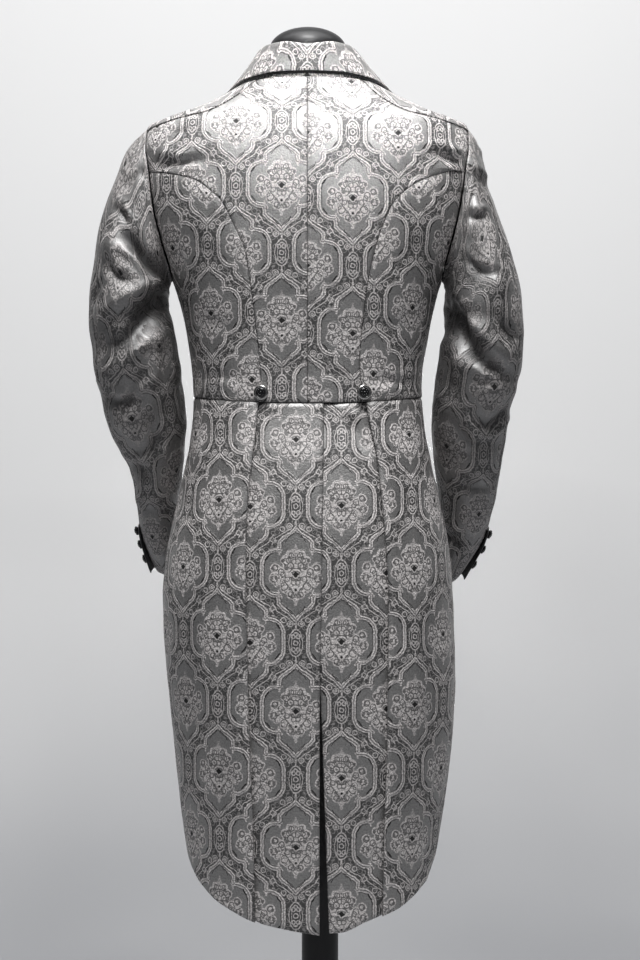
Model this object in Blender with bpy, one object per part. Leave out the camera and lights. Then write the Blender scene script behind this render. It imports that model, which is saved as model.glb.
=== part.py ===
# A brocade tailcoat on a limbless dress form. Metres, +Z up, floor at z = 0.
# The coat's back faces -Y, the wearer's left is -X, and the centre back seam lies in the plane x = 0.
import math

from functools import lru_cache

import bmesh
import bpy
from mathutils import Vector

# Cloth and seams
CLOTH = 0.0020          # brocade and lining as one wall
SEAM_INSET = 0.0002     # a panel stops this far short of its seam line
LAP_GAP = 0.0004        # air between two lapped layers
BLACK_CLOTH = 0.0016    # half cuffs
FELT = 0.0012           # under collar

# Landmarks, as heights above the floor
WAIST = 1.0685          # waist seam at the centre back
WAIST_RISE = 0.010      # the seam climbs this much by the side
CLOSURE = 1.1250        # the fronts part above this height

# Armhole, an ellipse seen from the side
ARMHOLE_HEIGHT = 1.334
ARMHOLE_HALF_HEIGHT = 0.102
ARMHOLE_BACK = 0.057
ARMHOLE_FRONT = 0.060
SHOULDER_POINT = math.radians(25.0)     # shoulder seam meets the armhole, from its top to the back
SIDE_BODY_POINT = math.radians(70.0)    # the curved back seam meets it
UNDERARM_POINT = math.radians(190.0)    # the side seam meets it
SLEEVE_GAP = 0.0005

# How square a level is at the back and front, where 0 is an ellipse
SQUARE_BACK = 0.24
SQUARE_FRONT = 0.18

# Dress form, pole and base
FORM_BOTTOM = 0.800
NECK_TOP = 1.5350
CAP_HEIGHT = 0.0285
NECK_MIDDLE = -0.012
POLE_RADIUS = 0.0240
POLE_X = 0.0160
BASE_RADIUS = 0.190
BASE_HEIGHT = 0.022

# Buttons
WAIST_BUTTON_RADIUS = 0.0098
WAIST_BUTTON_HEIGHT = 0.0060
CUFF_BUTTON_RADIUS = 0.0062
CUFF_BUTTON_HEIGHT = 0.0055
CUFF_BUTTON_PITCH = 0.0195
CUFF_BUTTON_START = 0.0180   # from the cuff's edge to the lowest button
BUTTON_SEAT = 0.0012    # air below a waist button's flat back on the round back


def table(columns, *rows):
    names = columns.split()
    return {name: [row[k] for row in rows] for k, name in enumerate(names)}


# The coat's outside, level by level from the hem up to the neck
BODY = table(
    "height left right back front",
    (0.360, 0.152, 0.163, 0.130, 0.090),
    (0.440, 0.158, 0.169, 0.131, 0.092),
    (0.500, 0.163, 0.174, 0.132, 0.095),
    (0.575, 0.171, 0.184, 0.134, 0.100),
    (0.640, 0.178, 0.191, 0.136, 0.104),
    (0.700, 0.184, 0.194, 0.137, 0.107),
    (0.760, 0.189, 0.193, 0.138, 0.110),
    (0.820, 0.191, 0.191, 0.138, 0.114),
    (0.880, 0.185, 0.186, 0.136, 0.118),
    (0.940, 0.172, 0.174, 0.131, 0.121),
    (1.000, 0.160, 0.162, 0.122, 0.122),
    (1.040, 0.153, 0.154, 0.113, 0.120),
    (1.075, 0.1505, 0.1505, 0.108, 0.118),
    (1.110, 0.152, 0.151, 0.109, 0.121),
    (1.154, 0.158, 0.158, 0.112, 0.126),
    (1.200, 0.168, 0.167, 0.117, 0.132),
    (1.240, 0.181, 0.179, 0.120, 0.135),
    (1.280, 0.201, 0.198, 0.122, 0.134),
    (1.320, 0.216, 0.213, 0.122, 0.130),
    (1.360, 0.222, 0.220, 0.119, 0.121),
    (1.395, 0.223, 0.221, 0.114, 0.108),
    (1.420, 0.217, 0.216, 0.108, 0.092),
    (1.434, 0.2085, 0.2085, 0.103, 0.080),
    (1.442, 0.188, 0.191, 0.100, 0.072),
    (1.454, 0.154, 0.158, 0.096, 0.060),
    (1.468, 0.121, 0.127, 0.091, 0.046),
    (1.480, 0.098, 0.103, 0.087, 0.034),
    (1.492, 0.080, 0.084, 0.081, 0.022),
    (1.506, 0.064, 0.066, 0.071, 0.012),
)

# Air between the cloth and the dress form
STAND_OFF = table(
    "height gap",
    (0.780, 0.036),
    (0.880, 0.022),
    (0.950, 0.014),
    (1.000, 0.010),
    (1.075, 0.008),
    (1.200, 0.010),
    (1.300, 0.007),
    (1.365, 0.0056),
    (1.395, 0.0040),
    (1.419, 0.0060),
    (1.434, 0.0084),
    (1.448, 0.0024),
    (1.464, 0.0022),
    (1.478, 0.0046),
)

# Curved back seams, from the waist to the armhole, across the back from the centre
LEFT_BACK_SEAM = table(
    "across height",
    (0.0585, 1.0685),
    (0.0608, 1.1150),
    (0.0646, 1.1550),
    (0.0733, 1.2230),
    (0.0758, 1.2420),
    (0.0809, 1.2650),
    (0.0911, 1.2890),
    (0.1090, 1.3240),
    (0.1232, 1.3385),
    (0.1453, 1.3545),
    (0.1824, 1.3650),
)
RIGHT_BACK_SEAM = table(
    "across height",
    (0.0715, 1.0685),
    (0.0670, 1.1150),
    (0.0682, 1.1480),
    (0.0757, 1.2130),
    (0.0833, 1.2520),
    (0.0897, 1.2750),
    (0.0961, 1.2940),
    (0.1114, 1.3260),
    (0.1346, 1.3465),
    (0.1530, 1.3565),
    (0.1874, 1.3690),
)

# Neckline and roll line, from the back of the neck round to the closure, as degrees from the back
NECKLINE = table(
    "turn height",
    (0.0, 1.4880),
    (25.0, 1.4880),
    (50.0, 1.4870),
    (72.0, 1.4865),
    (94.0, 1.4850),
    (120.0, 1.4790),
    (142.0, 1.4640),
    (157.0, 1.4400),
    (163.0, 1.4100),
    (166.5, 1.3500),
    (169.0, 1.2700),
    (173.0, 1.1850),
    (179.2, 1.1250),
)
NECK_POINT = 50.0       # the shoulder seam leaves the neckline here
LAPEL_TOP = 157.0       # the lapel ends at this turn of the roll line

# Shoulder seam on the back slope, between the neck point and the armhole
SHOULDER_SEAM = table(
    "across height",
    (0.0930, 1.4640),
    (0.1250, 1.4460),
    (0.1600, 1.4380),
)

# Side seam under the arm, as degrees from the centre back
SIDE_SEAM_TURN = 98.0

# Lapel's outer edge from the closure up to the notch
LAPEL_EDGE = table(
    "across height",
    (0.0120, 1.1290),
    (0.0480, 1.1850),
    (0.0830, 1.2550),
    (0.1080, 1.3300),
    (0.1200, 1.3900),
    (0.1230, 1.4100),
)

LAPEL_GAP = 0.0009
LAPEL_SPRING = 0.0012   # the lapel stands up this much more at its roll line

# Pleat lines, where the side skirt laps over the centre tail, across the back from the centre
PLEATS = table(
    "height left right",
    (0.400, 0.0654, 0.0925),
    (0.430, 0.0656, 0.0945),
    (0.540, 0.0680, 0.0965),
    (0.640, 0.0718, 0.1000),
    (0.760, 0.0752, 0.1010),
    (0.820, 0.0766, 0.1018),
    (0.900, 0.0766, 0.0975),
    (0.955, 0.0735, 0.0925),
    (1.000, 0.0690, 0.0875),
    (1.035, 0.0645, 0.0800),
    (1.068, 0.0621, 0.0738),
)
PLEAT_UNDERLAP = 0.024
PLEAT_LIFT = 0.0046
PLEAT_EASE = 0.085

# Centre vent, where the left tail laps over the right one, measured to the right of the centre
VENT = table(
    "height over under",
    (0.380, 0.0160, 0.0280),
    (0.560, 0.0160, 0.0215),
    (0.716, 0.0165, 0.0155),
    (0.818, 0.0185, 0.0060),
    (0.960, 0.0205, -0.0040),
    (1.068, 0.0220, -0.0060),
)
VENT_DROP = 0.0028

# Hem, from the vent to the round corner below each front edge
HEM = table(
    "left_across left_height right_across right_height",
    (-0.0160, 0.3925, 0.0280, 0.3950),
    (0.0300, 0.4005, 0.0437, 0.3960),
    (0.0654, 0.4087, 0.0742, 0.4085),
    (0.1001, 0.4241, 0.1141, 0.4234),
    (0.1225, 0.4367, 0.1338, 0.4362),
    (0.1388, 0.4528, 0.1528, 0.4516),
)

# Front edge of the tails, as degrees from the centre back, down to the round corner
TAIL_EDGE = table(
    "height turn",
    (0.475, 72.0),
    (0.500, 79.5),
    (0.560, 86.0),
    (0.680, 91.0),
    (0.820, 97.0),
    (0.950, 105.0),
    (1.030, 112.0),
    (1.0785, 117.0),
)

# Sleeve sections from the head to the cuff. The outer and inner points lie across the sleeve.
SLEEVE_COLUMNS = "outer_x outer_z inner_x inner_z middle_y half_depth lean"
LEFT_SLEEVE = table(
    SLEEVE_COLUMNS,
    (0.2376, 1.4050, 0.1805, 1.2275, 0.001, 0.063, 0.0),
    (0.2534, 1.3656, 0.1815, 1.2220, 0.002, 0.069, 0.0),
    (0.2700, 1.3220, 0.1815, 1.2145, 0.003, 0.074, 0.0),
    (0.2805, 1.2680, 0.1808, 1.2030, 0.003, 0.076, 0.0),
    (0.2875, 1.2150, 0.1790, 1.1860, 0.001, 0.075, 0.0),
    (0.2880, 1.1700, 0.1745, 1.1600, -0.001, 0.072, 2.0),
    (0.2810, 1.1180, 0.1685, 1.1240, 0.003, 0.068, 6.0),
    (0.2712, 1.0680, 0.1640, 1.0850, 0.012, 0.064, 10.0),
    (0.2590, 1.0280, 0.1615, 1.0450, 0.026, 0.061, 14.0),
    (0.2380, 0.9850, 0.1660, 1.0000, 0.044, 0.058, 17.0),
    (0.2305, 0.9400, 0.1710, 0.9520, 0.064, 0.055, 17.0),
    (0.2245, 0.8980, 0.1690, 0.9040, 0.084, 0.052, 14.0),
    (0.2075, 0.8495, 0.1580, 0.8460, 0.102, 0.049, 8.0),
)
RIGHT_SLEEVE = table(
    SLEEVE_COLUMNS,
    (0.2284, 1.4050, 0.1790, 1.2275, 0.001, 0.063, 0.0),
    (0.2370, 1.3600, 0.1800, 1.2220, 0.002, 0.069, 0.0),
    (0.2520, 1.3160, 0.1800, 1.2145, 0.003, 0.074, 0.0),
    (0.2690, 1.2680, 0.1785, 1.2020, 0.003, 0.076, 0.0),
    (0.2805, 1.2180, 0.1765, 1.1860, 0.001, 0.075, 0.0),
    (0.2842, 1.1680, 0.1735, 1.1600, -0.001, 0.072, 2.0),
    (0.2815, 1.1180, 0.1700, 1.1240, 0.003, 0.068, 6.0),
    (0.2700, 1.0700, 0.1665, 1.0850, 0.012, 0.064, 10.0),
    (0.2630, 1.0280, 0.1640, 1.0450, 0.026, 0.061, 14.0),
    (0.2570, 0.9850, 0.1680, 1.0000, 0.044, 0.058, 17.0),
    (0.2498, 0.9400, 0.1730, 0.9500, 0.064, 0.056, 17.0),
    (0.2370, 0.8930, 0.1710, 0.8980, 0.086, 0.053, 14.0),
    (0.2065, 0.8420, 0.1620, 0.8280, 0.105, 0.050, 8.0),
)
HINDARM_TOP = 40.0      # degrees from the sleeve's outer line to the back, at the armhole
HINDARM_CUFF = 22.0
FOREARM_SEAM = 220.0
SLEEVE_LENGTH = 0.640
SLEEVE_ARC = 0.065      # mean radius, which turns degrees into a length for the folds

# Largest sleeve folds. Each runs between two places, given as degrees round and share of the length.
FOLD_COLUMNS = "turn_a along_a turn_b along_b width depth"
LEFT_FOLDS = table(
    FOLD_COLUMNS,
    (35.0, 0.20, 170.0, 0.30, 0.011, -0.0060),
    (20.0, 0.27, 120.0, 0.31, 0.014, 0.0045),
    (15.0, 0.50, 165.0, 0.34, 0.013, -0.0085),
    (10.0, 0.56, 150.0, 0.44, 0.015, 0.0050),
    (60.0, 0.68, 190.0, 0.58, 0.013, -0.0050),
)
RIGHT_FOLDS = table(
    FOLD_COLUMNS,
    (60.0, 0.10, 160.0, 0.12, 0.010, -0.0050),
    (20.0, 0.48, 165.0, 0.37, 0.013, -0.0085),
    (15.0, 0.55, 155.0, 0.47, 0.015, 0.0055),
    (60.0, 0.62, 190.0, 0.56, 0.012, -0.0045),
    (70.0, 0.78, 180.0, 0.72, 0.012, -0.0040),
)

# Collar, from the centre back to its front end. The fall lies on the coat, the fold stands free.
COLLAR = table(
    "fall_turn fall_height stand_turn fold_x fold_y fold_z",
    (0.0, 1.4925, 0.0, 0.000, -0.0825, 1.5305),
    (28.0, 1.4915, 26.0, 0.029, -0.0750, 1.5345),
    (56.0, 1.4870, 52.0, 0.0525, -0.0480, 1.5330),
    (86.0, 1.4800, 84.0, 0.0640, -0.0090, 1.5230),
    (110.0, 1.4705, 112.0, 0.0680, 0.0210, 1.5040),
    (134.0, 1.4530, 138.0, 0.0700, 0.0450, 1.4800),
    (149.0, 1.4330, 155.5, 0.0700, 0.0655, 1.4500),
)
FOLD_RADIUS = 0.0040
FOLD_DROP = 0.0040
COLLAR_SEAM = 0.0014    # the stand's foot is this far above the neckline
FALL_LIFT = 0.0068
UNDER_COLLAR_SHOWS = 0.0032
UNDER_COLLAR_START = 10 # the under collar begins at this row of the collar
COLLAR_COLUMNS = 24
COLLAR_ROWS = 12

# Neck of the dress form above the shoulders
NECK = table(
    "height half_width half_depth",
    (1.488, 0.068, 0.062),
    (1.497, 0.058, 0.057),
    (1.512, 0.052, 0.053),
    (1.535, 0.0505, 0.052),
)

# Colour, roughness and metallic value of each finish
FINISHES = {
    "brocade": ((0.36, 0.33, 0.32), 0.45, 0.0),
    "black_velvet": ((0.010, 0.010, 0.012), 0.90, 0.0),
    "black_felt": ((0.012, 0.011, 0.012), 0.95, 0.0),
    "button_silver": ((0.42, 0.41, 0.42), 0.35, 1.0),
    "button_black": ((0.012, 0.012, 0.013), 0.35, 0.0),
    "form_cover": ((0.012, 0.012, 0.014), 0.80, 0.0),
    "black_enamel": ((0.010, 0.010, 0.011), 0.22, 0.0),
}


def smooth_reading(keys, values, at):
    # A smooth curve through the table's rows that never overshoots them
    at = min(max(at, keys[0]), keys[-1])
    last = len(keys) - 1
    k = 0
    while k < last - 1 and at > keys[k + 1]:
        k += 1

    def step(i):
        return (values[i + 1] - values[i]) / (keys[i + 1] - keys[i])

    def slope(i):
        if i == 0:
            return step(0)
        if i == last:
            return step(last - 1)
        before, after = step(i - 1), step(i)
        if before * after <= 0:
            return 0.0
        return 2 * before * after / (before + after)

    span = keys[k + 1] - keys[k]
    t = (at - keys[k]) / span
    start = (2 * t**3 - 3 * t**2 + 1) * values[k] + (t**3 - 2 * t**2 + t) * span * slope(k)
    end = (3 * t**2 - 2 * t**3) * values[k + 1] + (t**3 - t**2) * span * slope(k + 1)
    return start + end


def reading(chart, key, value, at):
    return smooth_reading(chart[key], chart[value], at)


def spline(points):
    # A curve from 0 to 1 through the points, straight on past its ends
    last = len(points) - 1

    def curve(t):
        if t > 1.0:
            return points[-1] + (points[-1] - curve(0.98)) * ((t - 1.0) / 0.02)
        place = max(t, 0.0) * last
        k = min(int(place), last - 1)
        f = place - k
        b, c = points[k], points[k + 1]
        a = points[k - 1] if k > 0 else b * 2 - c
        d = points[k + 2] if k + 2 <= last else c * 2 - b
        return (b * 2 + (c - a) * f + (a * 2 - b * 5 + c * 4 - d) * f**2
                + (b * 3 - a - c * 3 + d) * f**3) * 0.5

    return curve


def even_spline(points):
    # The same curve, with its run shared out by length
    curve = spline(points)
    count = 24 * (len(points) - 1)
    runs = [0.0]
    for k in range(count):
        runs.append(runs[-1] + (curve((k + 1) / count) - curve(k / count)).length)

    def even(t):
        wanted = t * runs[-1]
        k = 0
        while k < count - 1 and runs[k + 1] < wanted:
            k += 1
        f = (wanted - runs[k]) / (runs[k + 1] - runs[k])
        return curve((k + f) / count)

    return even


def half_width(side, height):
    return reading(BODY, "height", "left" if side < 0 else "right", height)


def body_point(side, turn, height):
    # turn is 0 at the centre back, a quarter circle at the side and half a circle at the front
    if turn < math.pi / 2:
        depth, square = reading(BODY, "height", "back", height), SQUARE_BACK
    else:
        depth, square = reading(BODY, "height", "front", height), SQUARE_FRONT
    across = half_width(side, height) * math.sin(turn)
    return Vector((side * across, -depth * math.cos(turn) * (1 + square * math.sin(turn)**2), height))


def body_normal(side, turn, height):
    step = 0.002
    low, high = max(height - step, BODY["height"][0]), min(height + step, BODY["height"][-1])
    round_way = body_point(side, turn + 0.01, height) - body_point(side, turn - 0.01, height)
    up_way = body_point(side, turn, high) - body_point(side, turn, low)
    return (round_way.cross(up_way) * side).normalized()


def on_body(side, place, lift=0.0):
    return body_point(side, place.x, place.y) + body_normal(side, place.x, place.y) * lift


def turn_across(side, across, height):
    return math.asin(max(-1.0, min(1.0, across / half_width(side, height))))


def turn_at_depth(side, depth, height):
    low, high = (0.0, math.pi / 2) if depth < 0 else (math.pi / 2, math.pi)
    for _ in range(26):
        middle = (low + high) / 2
        if body_point(side, middle, height).y < depth:
            low = middle
        else:
            high = middle
    return (low + high) / 2


def waist_height(turn):
    return WAIST + WAIST_RISE * min(1.0, abs(math.sin(min(abs(turn), math.pi / 2))))**3


@lru_cache(maxsize=None)
def armhole_place(side, angle):
    # angle is 0 at the top of the armhole and a quarter circle at its back
    height = ARMHOLE_HEIGHT + ARMHOLE_HALF_HEIGHT * math.cos(angle)
    reach = ARMHOLE_BACK if math.sin(angle) > 0 else ARMHOLE_FRONT
    return turn_at_depth(side, -reach * math.sin(angle), height), height


def armhole(side, angle):
    return Vector(armhole_place(side, angle))


def armhole_run(side, start, end):
    return lambda t: armhole(side, start + (end - start) * t)


def waist_run(start, end):
    def run(t):
        turn = start + (end - start) * t
        return Vector((turn, waist_height(turn)))

    return run


def joined(first, share, second):
    # Two runs end to end, the first taking its share of the way
    def run(t):
        if t <= share:
            return first(t / share)
        return second((t - share) / (1 - share))

    return run


def backwards(run):
    return lambda t: run(1.0 - t)


def nearest(side, point, guess):
    # The turn and height of the coat's point nearest to a point in space
    turn, height = guess
    for _ in range(10):
        gap = point - body_point(side, turn, height)
        around = (body_point(side, turn + 0.005, height) - body_point(side, turn - 0.005, height)) / 0.01
        upward = (body_point(side, turn, height + 0.001) - body_point(side, turn, height - 0.001)) / 0.002
        a, b, c = around.dot(around), around.dot(upward), upward.dot(upward)
        p, q = gap.dot(around), gap.dot(upward)
        scale = max(a * c - b * b, 1e-9)
        turn += max(-0.15, min(0.15, (p * c - q * b) / scale))
        height += max(-0.006, min(0.006, (q * a - p * b) / scale))
    return Vector((turn, height))


def blend(bottom, top, left, right, s, t):
    across = left(t) * (1 - s) + right(t) * s
    along = bottom(s) * (1 - t) + top(s) * t
    corners = ((bottom(0.0) * (1 - s) + bottom(1.0) * s) * (1 - t)
               + (top(0.0) * (1 - s) + top(1.0) * s) * t)
    return across + along - corners


def patch(side, bottom, top, left, right):
    # A place inside four border runs, as a turn and a height. The cloth is spread between the
    # borders in space and then laid on the coat's form.
    def in_space(run):
        return lambda t: body_point(side, *run(t))

    runs = [lru_cache(maxsize=None)(in_space(run)) for run in (bottom, top, left, right)]

    def place(s, t):
        if t < 0.0001:
            return bottom(s)
        if t > 0.9999:
            return top(s)
        if s < 0.0001:
            return left(t)
        if s > 0.9999:
            return right(t)
        guess = blend(bottom, top, left, right, s, t)
        return nearest(side, blend(*runs, s, t), guess)

    return place


def new_object(name, mesh, finish):
    piece = bpy.data.objects.new(name, mesh)
    bpy.data.collections["tailcoat"].objects.link(piece)
    mesh.materials.append(bpy.data.materials[finish])
    return piece


def finish_mesh(bm, name, finish, sharp=50.0):
    bmesh.ops.recalc_face_normals(bm, faces=bm.faces[:])
    if bm.calc_volume(signed=True) < 0:
        bmesh.ops.reverse_faces(bm, faces=bm.faces[:])
    mesh = bpy.data.meshes.new(name)
    bm.to_mesh(mesh)
    bm.free()
    mesh.shade_smooth()
    mesh.set_sharp_from_angle(angle=math.radians(sharp))
    return new_object(name, mesh, finish)


def hold_back(bm):
    # Move the sheet's border in from its seam lines
    ways = {}
    for edge in bm.edges:
        if not edge.is_boundary:
            continue
        first, second = edge.verts
        run = (second.co - first.co).normalized()
        inward = edge.link_faces[0].calc_center_median() - first.co
        inward = (inward - run * inward.dot(run)).normalized()
        ways.setdefault(first, []).append(inward)
        ways.setdefault(second, []).append(inward)
    for vert, (one, other) in ways.items():
        vert.co += (one + other) * (SEAM_INSET / max(0.3, 1.0 + one.dot(other)))


def cloth(name, bend, columns, rows, finish, wall=CLOTH):
    # A flat grid, bent so that its face lies on the outside, with the wall behind it
    bm = bmesh.new()
    facing = bm.verts.layers.float_vector.new("facing")
    bmesh.ops.create_grid(bm, x_segments=columns, y_segments=rows, size=0.5)
    for vert in bm.verts:
        vert.co, vert[facing] = bend(vert.co.x + 0.5, vert.co.y + 0.5)
    hold_back(bm)
    slab = bmesh.ops.extrude_face_region(bm, geom=bm.faces[:], use_keep_orig=True)
    lining = [v for v in slab["geom"] if isinstance(v, bmesh.types.BMVert)]
    for vert in lining:
        vert.co -= vert[facing] * wall
    return finish_mesh(bm, name, finish)


def body_cloth(name, side, place, columns, rows, finish="brocade", lift=None, wall=CLOTH):
    # Cloth that lies on the coat's outside, or a lift away from it
    def bend(s, t):
        spot = place(s, t)
        return on_body(side, spot, lift(s, t, spot) if lift else 0.0), body_normal(side, spot.x, spot.y)

    return cloth(name, bend, columns, rows, finish, wall)


def back_seam(side):
    chart = LEFT_BACK_SEAM if side < 0 else RIGHT_BACK_SEAM
    marks = [Vector(pair) for pair in zip(chart["across"], chart["height"])]
    start = marks[0]
    start.y = waist_height(turn_across(side, start.x, start.y))
    end = armhole(side, SIDE_BODY_POINT)
    marks.append(Vector((half_width(side, end.y) * math.sin(end.x), end.y)))
    run = even_spline(marks)

    def seam(t):
        if t >= 1.0:
            return end
        mark = run(t)
        return Vector((turn_across(side, mark.x, mark.y), mark.y))

    return seam


def shoulder_seam(side):
    neck = Vector((math.radians(NECK_POINT), reading(NECKLINE, "turn", "height", NECK_POINT)))
    end = armhole(side, SHOULDER_POINT)
    marks = [Vector((half_width(side, neck.y) * math.sin(neck.x), neck.y))]
    marks += [Vector(pair) for pair in zip(SHOULDER_SEAM["across"], SHOULDER_SEAM["height"])]
    marks.append(Vector((half_width(side, end.y) * math.sin(end.x), end.y)))
    run = even_spline(marks)

    def seam(t):
        if t <= 0.0:
            return neck
        if t >= 1.0:
            return end
        mark = run(t)
        return Vector((turn_across(side, mark.x, mark.y), mark.y))

    return seam


def evened(side, run):
    # The same run, shared out by its true length on the coat
    count = 60
    spots = [on_body(side, run(k / count)) for k in range(count + 1)]
    lengths = [0.0]
    for before, after in zip(spots, spots[1:]):
        lengths.append(lengths[-1] + (after - before).length)

    def even(t):
        wanted = t * lengths[-1]
        k = 0
        while k < count - 1 and lengths[k + 1] < wanted:
            k += 1
        return run((k + (wanted - lengths[k]) / (lengths[k + 1] - lengths[k])) / count)

    return even


def neckline(side, start, end):
    # The part of the neckline between two turns in degrees, taken from its own table rows
    marks = [Vector((math.radians(turn), height))
             for turn, height in zip(NECKLINE["turn"], NECKLINE["height"])]
    whole = spline(marks)
    rows = NECKLINE["turn"]
    first, last = (rows.index(turn) / (len(rows) - 1) for turn in (start, end))
    return evened(side, lambda t: whole(first + (last - first) * t))


def side_seam(side):
    bottom = Vector((math.radians(SIDE_SEAM_TURN), waist_height(math.pi / 2)))
    top = armhole(side, UNDERARM_POINT)
    return lambda t: bottom.lerp(top, t)


def front_edge(side):
    # Up the centre front from the waist to the closure, then along the roll line to the neck point
    roll = neckline(side, NECKLINE["turn"][-1], NECK_POINT)
    foot = Vector((math.radians(NECKLINE["turn"][-1]), waist_height(math.pi / 2)))
    centre = lambda t: foot.lerp(roll(0.0), t)
    return joined(centre, CENTRE_ROWS / FRONT_ROWS, roll)


SEAM_ROWS = 10          # along the curved back seam
SHOULDER_COLUMNS = 6
NECK_COLUMNS = 3
ARMHOLE_STEP = 15       # degrees of armhole to a column, on the coat and on the sleeve
ARMHOLE_ROWS = 3        # between the curved seam and the shoulder seam
UNDERARM_COLUMNS = 8    # between the curved seam and the side seam
SIDE_ROWS = 5           # along the side seam
FRONT_ROWS = SIDE_ROWS + 13
CENTRE_ROWS = 2
SLEEVE_COLUMN_COUNT = 12
SLEEVE_ROWS = 20
CUFF_ROWS = 2           # the half cuff covers the sleeve's last rows


def build_back(side, name):
    neck = neckline(side, NECKLINE["turn"][0], NECK_POINT)
    top_height = NECKLINE["height"][0]
    seam = back_seam(side)
    rows = SEAM_ROWS + ARMHOLE_ROWS
    columns = SHOULDER_COLUMNS + NECK_COLUMNS
    place = patch(
        side,
        bottom=waist_run(0.0, seam(0.0).x),
        top=joined(neck, NECK_COLUMNS / columns, shoulder_seam(side)),
        left=lambda t: Vector((0.0, WAIST + (top_height - WAIST) * t)),
        right=joined(seam, SEAM_ROWS / rows, armhole_run(side, SIDE_BODY_POINT, SHOULDER_POINT)))
    return body_cloth(name, side, place, columns, rows)


def build_side_back(side, name):
    seam = back_seam(side)
    place = patch(
        side,
        bottom=waist_run(seam(0.0).x, math.radians(SIDE_SEAM_TURN)),
        top=armhole_run(side, SIDE_BODY_POINT, UNDERARM_POINT),
        left=seam,
        right=side_seam(side))
    return body_cloth(name, side, place, UNDERARM_COLUMNS, SEAM_ROWS)


def build_front(side, name):
    edge = front_edge(side)
    turn_back = SHOULDER_POINT + 2 * math.pi
    place = patch(
        side,
        bottom=waist_run(math.radians(SIDE_SEAM_TURN), edge(0.0).x),
        top=backwards(shoulder_seam(side)),
        left=joined(side_seam(side), SIDE_ROWS / FRONT_ROWS,
                    armhole_run(side, UNDERARM_POINT, turn_back)),
        right=edge)
    return body_cloth(name, side, place, SHOULDER_COLUMNS, FRONT_ROWS)


def build_lapel(side, name):
    roll = neckline(side, NECKLINE["turn"][-1], LAPEL_TOP)
    marks = [Vector((math.pi - turn_across(side, across, height), height))
             for across, height in zip(LAPEL_EDGE["across"], LAPEL_EDGE["height"])]
    outer = evened(side, spline(marks))
    place = patch(
        side,
        bottom=lambda s: outer(0.0).lerp(roll(0.0), s),
        top=lambda s: outer(1.0).lerp(roll(1.0), s),
        left=outer,
        right=roll)

    def lift(s, t, spot):
        return CLOTH + LAPEL_GAP + LAPEL_SPRING * s**2

    return body_cloth(name, side, place, 4, 11, lift=lift)


def collar_station(share):
    # One cut across the collar, from the stand's lower edge over the fold to the fall's edge
    side = -1 if share < 0 else 1
    rows = [k / (len(COLLAR["fold_x"]) - 1) for k in range(len(COLLAR["fold_x"]))]
    at = abs(share)

    def value(name):
        return smooth_reading(rows, COLLAR[name], at)

    stand_turn = value("stand_turn")
    seam_height = reading(NECKLINE, "turn", "height", stand_turn)
    stand = Vector((math.radians(stand_turn), seam_height + COLLAR_SEAM))
    fall = Vector((math.radians(value("fall_turn")), value("fall_height")))
    low = on_body(side, stand, -CLOTH)
    edge = on_body(side, fall, FALL_LIFT)
    fold = Vector((side * value("fold_x"), value("fold_y"), value("fold_z")))
    down = (edge - fold).normalized()
    outward = body_normal(side, fall.x, fall.y)
    outward = (outward - down * outward.dot(down)).normalized()
    inner_bend = fold - outward * FOLD_RADIUS + down * FOLD_DROP
    outer_bend = fold + outward * FOLD_RADIUS + down * FOLD_DROP
    path = spline([low, low.lerp(inner_bend, 0.55), inner_bend, fold, outer_bend,
                   outer_bend.lerp(edge, 0.5), edge])
    return path


def grid_normal(outside, s, t):
    step = 0.004
    s_low, s_high = max(s - step, 0.0), min(s + step, 1.0)
    t_low, t_high = max(t - step, 0.0), min(t + step, 1.0)
    across = outside(s_high, t) - outside(s_low, t)
    along = outside(s, t_high) - outside(s, t_low)
    return across.cross(along).normalized()


def collar_surface(s, t):
    return collar_station(2 * s - 1)(t)


def build_collar():
    def bend(s, t):
        return collar_surface(s, t), -grid_normal(collar_surface, s, t)

    return cloth("collar", bend, COLLAR_COLUMNS, COLLAR_ROWS, "brocade")


def build_under_collar():
    # The collar's own lower rows moved in under it, with its last row let out past the fall's edge
    rows = COLLAR_ROWS - UNDER_COLLAR_START
    columns = COLLAR_COLUMNS - 2

    def bend(s, t):
        row = round(t * rows)
        share = (UNDER_COLLAR_START + row) / COLLAR_ROWS
        across = (1 + s * columns) / COLLAR_COLUMNS
        spot = collar_surface(across, share)
        normal = -grid_normal(collar_surface, across, share)
        spot -= normal * (CLOTH + LAP_GAP)
        if row == rows:
            tangent = (collar_surface(across, 1.0) - collar_surface(across, 0.96)).normalized()
            spot += tangent * UNDER_COLLAR_SHOWS
        return spot, normal

    return cloth("under_collar", bend, columns, rows, "black_felt", FELT)


def sleeve_point(side, angle, along):
    # angle is 0 at the sleeve's outer line and a quarter circle at its back
    chart = LEFT_SLEEVE if side < 0 else RIGHT_SLEEVE
    start = on_body(side, armhole(side, angle)) + Vector((side * SLEEVE_GAP, 0, 0))
    rings = [start]
    for k in range(len(chart["lean"])):
        outer = Vector((side * chart["outer_x"][k], chart["middle_y"][k], chart["outer_z"][k]))
        inner = Vector((side * chart["inner_x"][k], chart["middle_y"][k], chart["inner_z"][k]))
        lean = math.radians(chart["lean"][k])
        forward = Vector((0, math.cos(lean), math.sin(lean))) * chart["half_depth"][k]
        rings.append((outer + inner) / 2 + (outer - inner) / 2 * math.cos(angle)
                     - forward * math.sin(angle))
    return spline(rings)(along)


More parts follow.
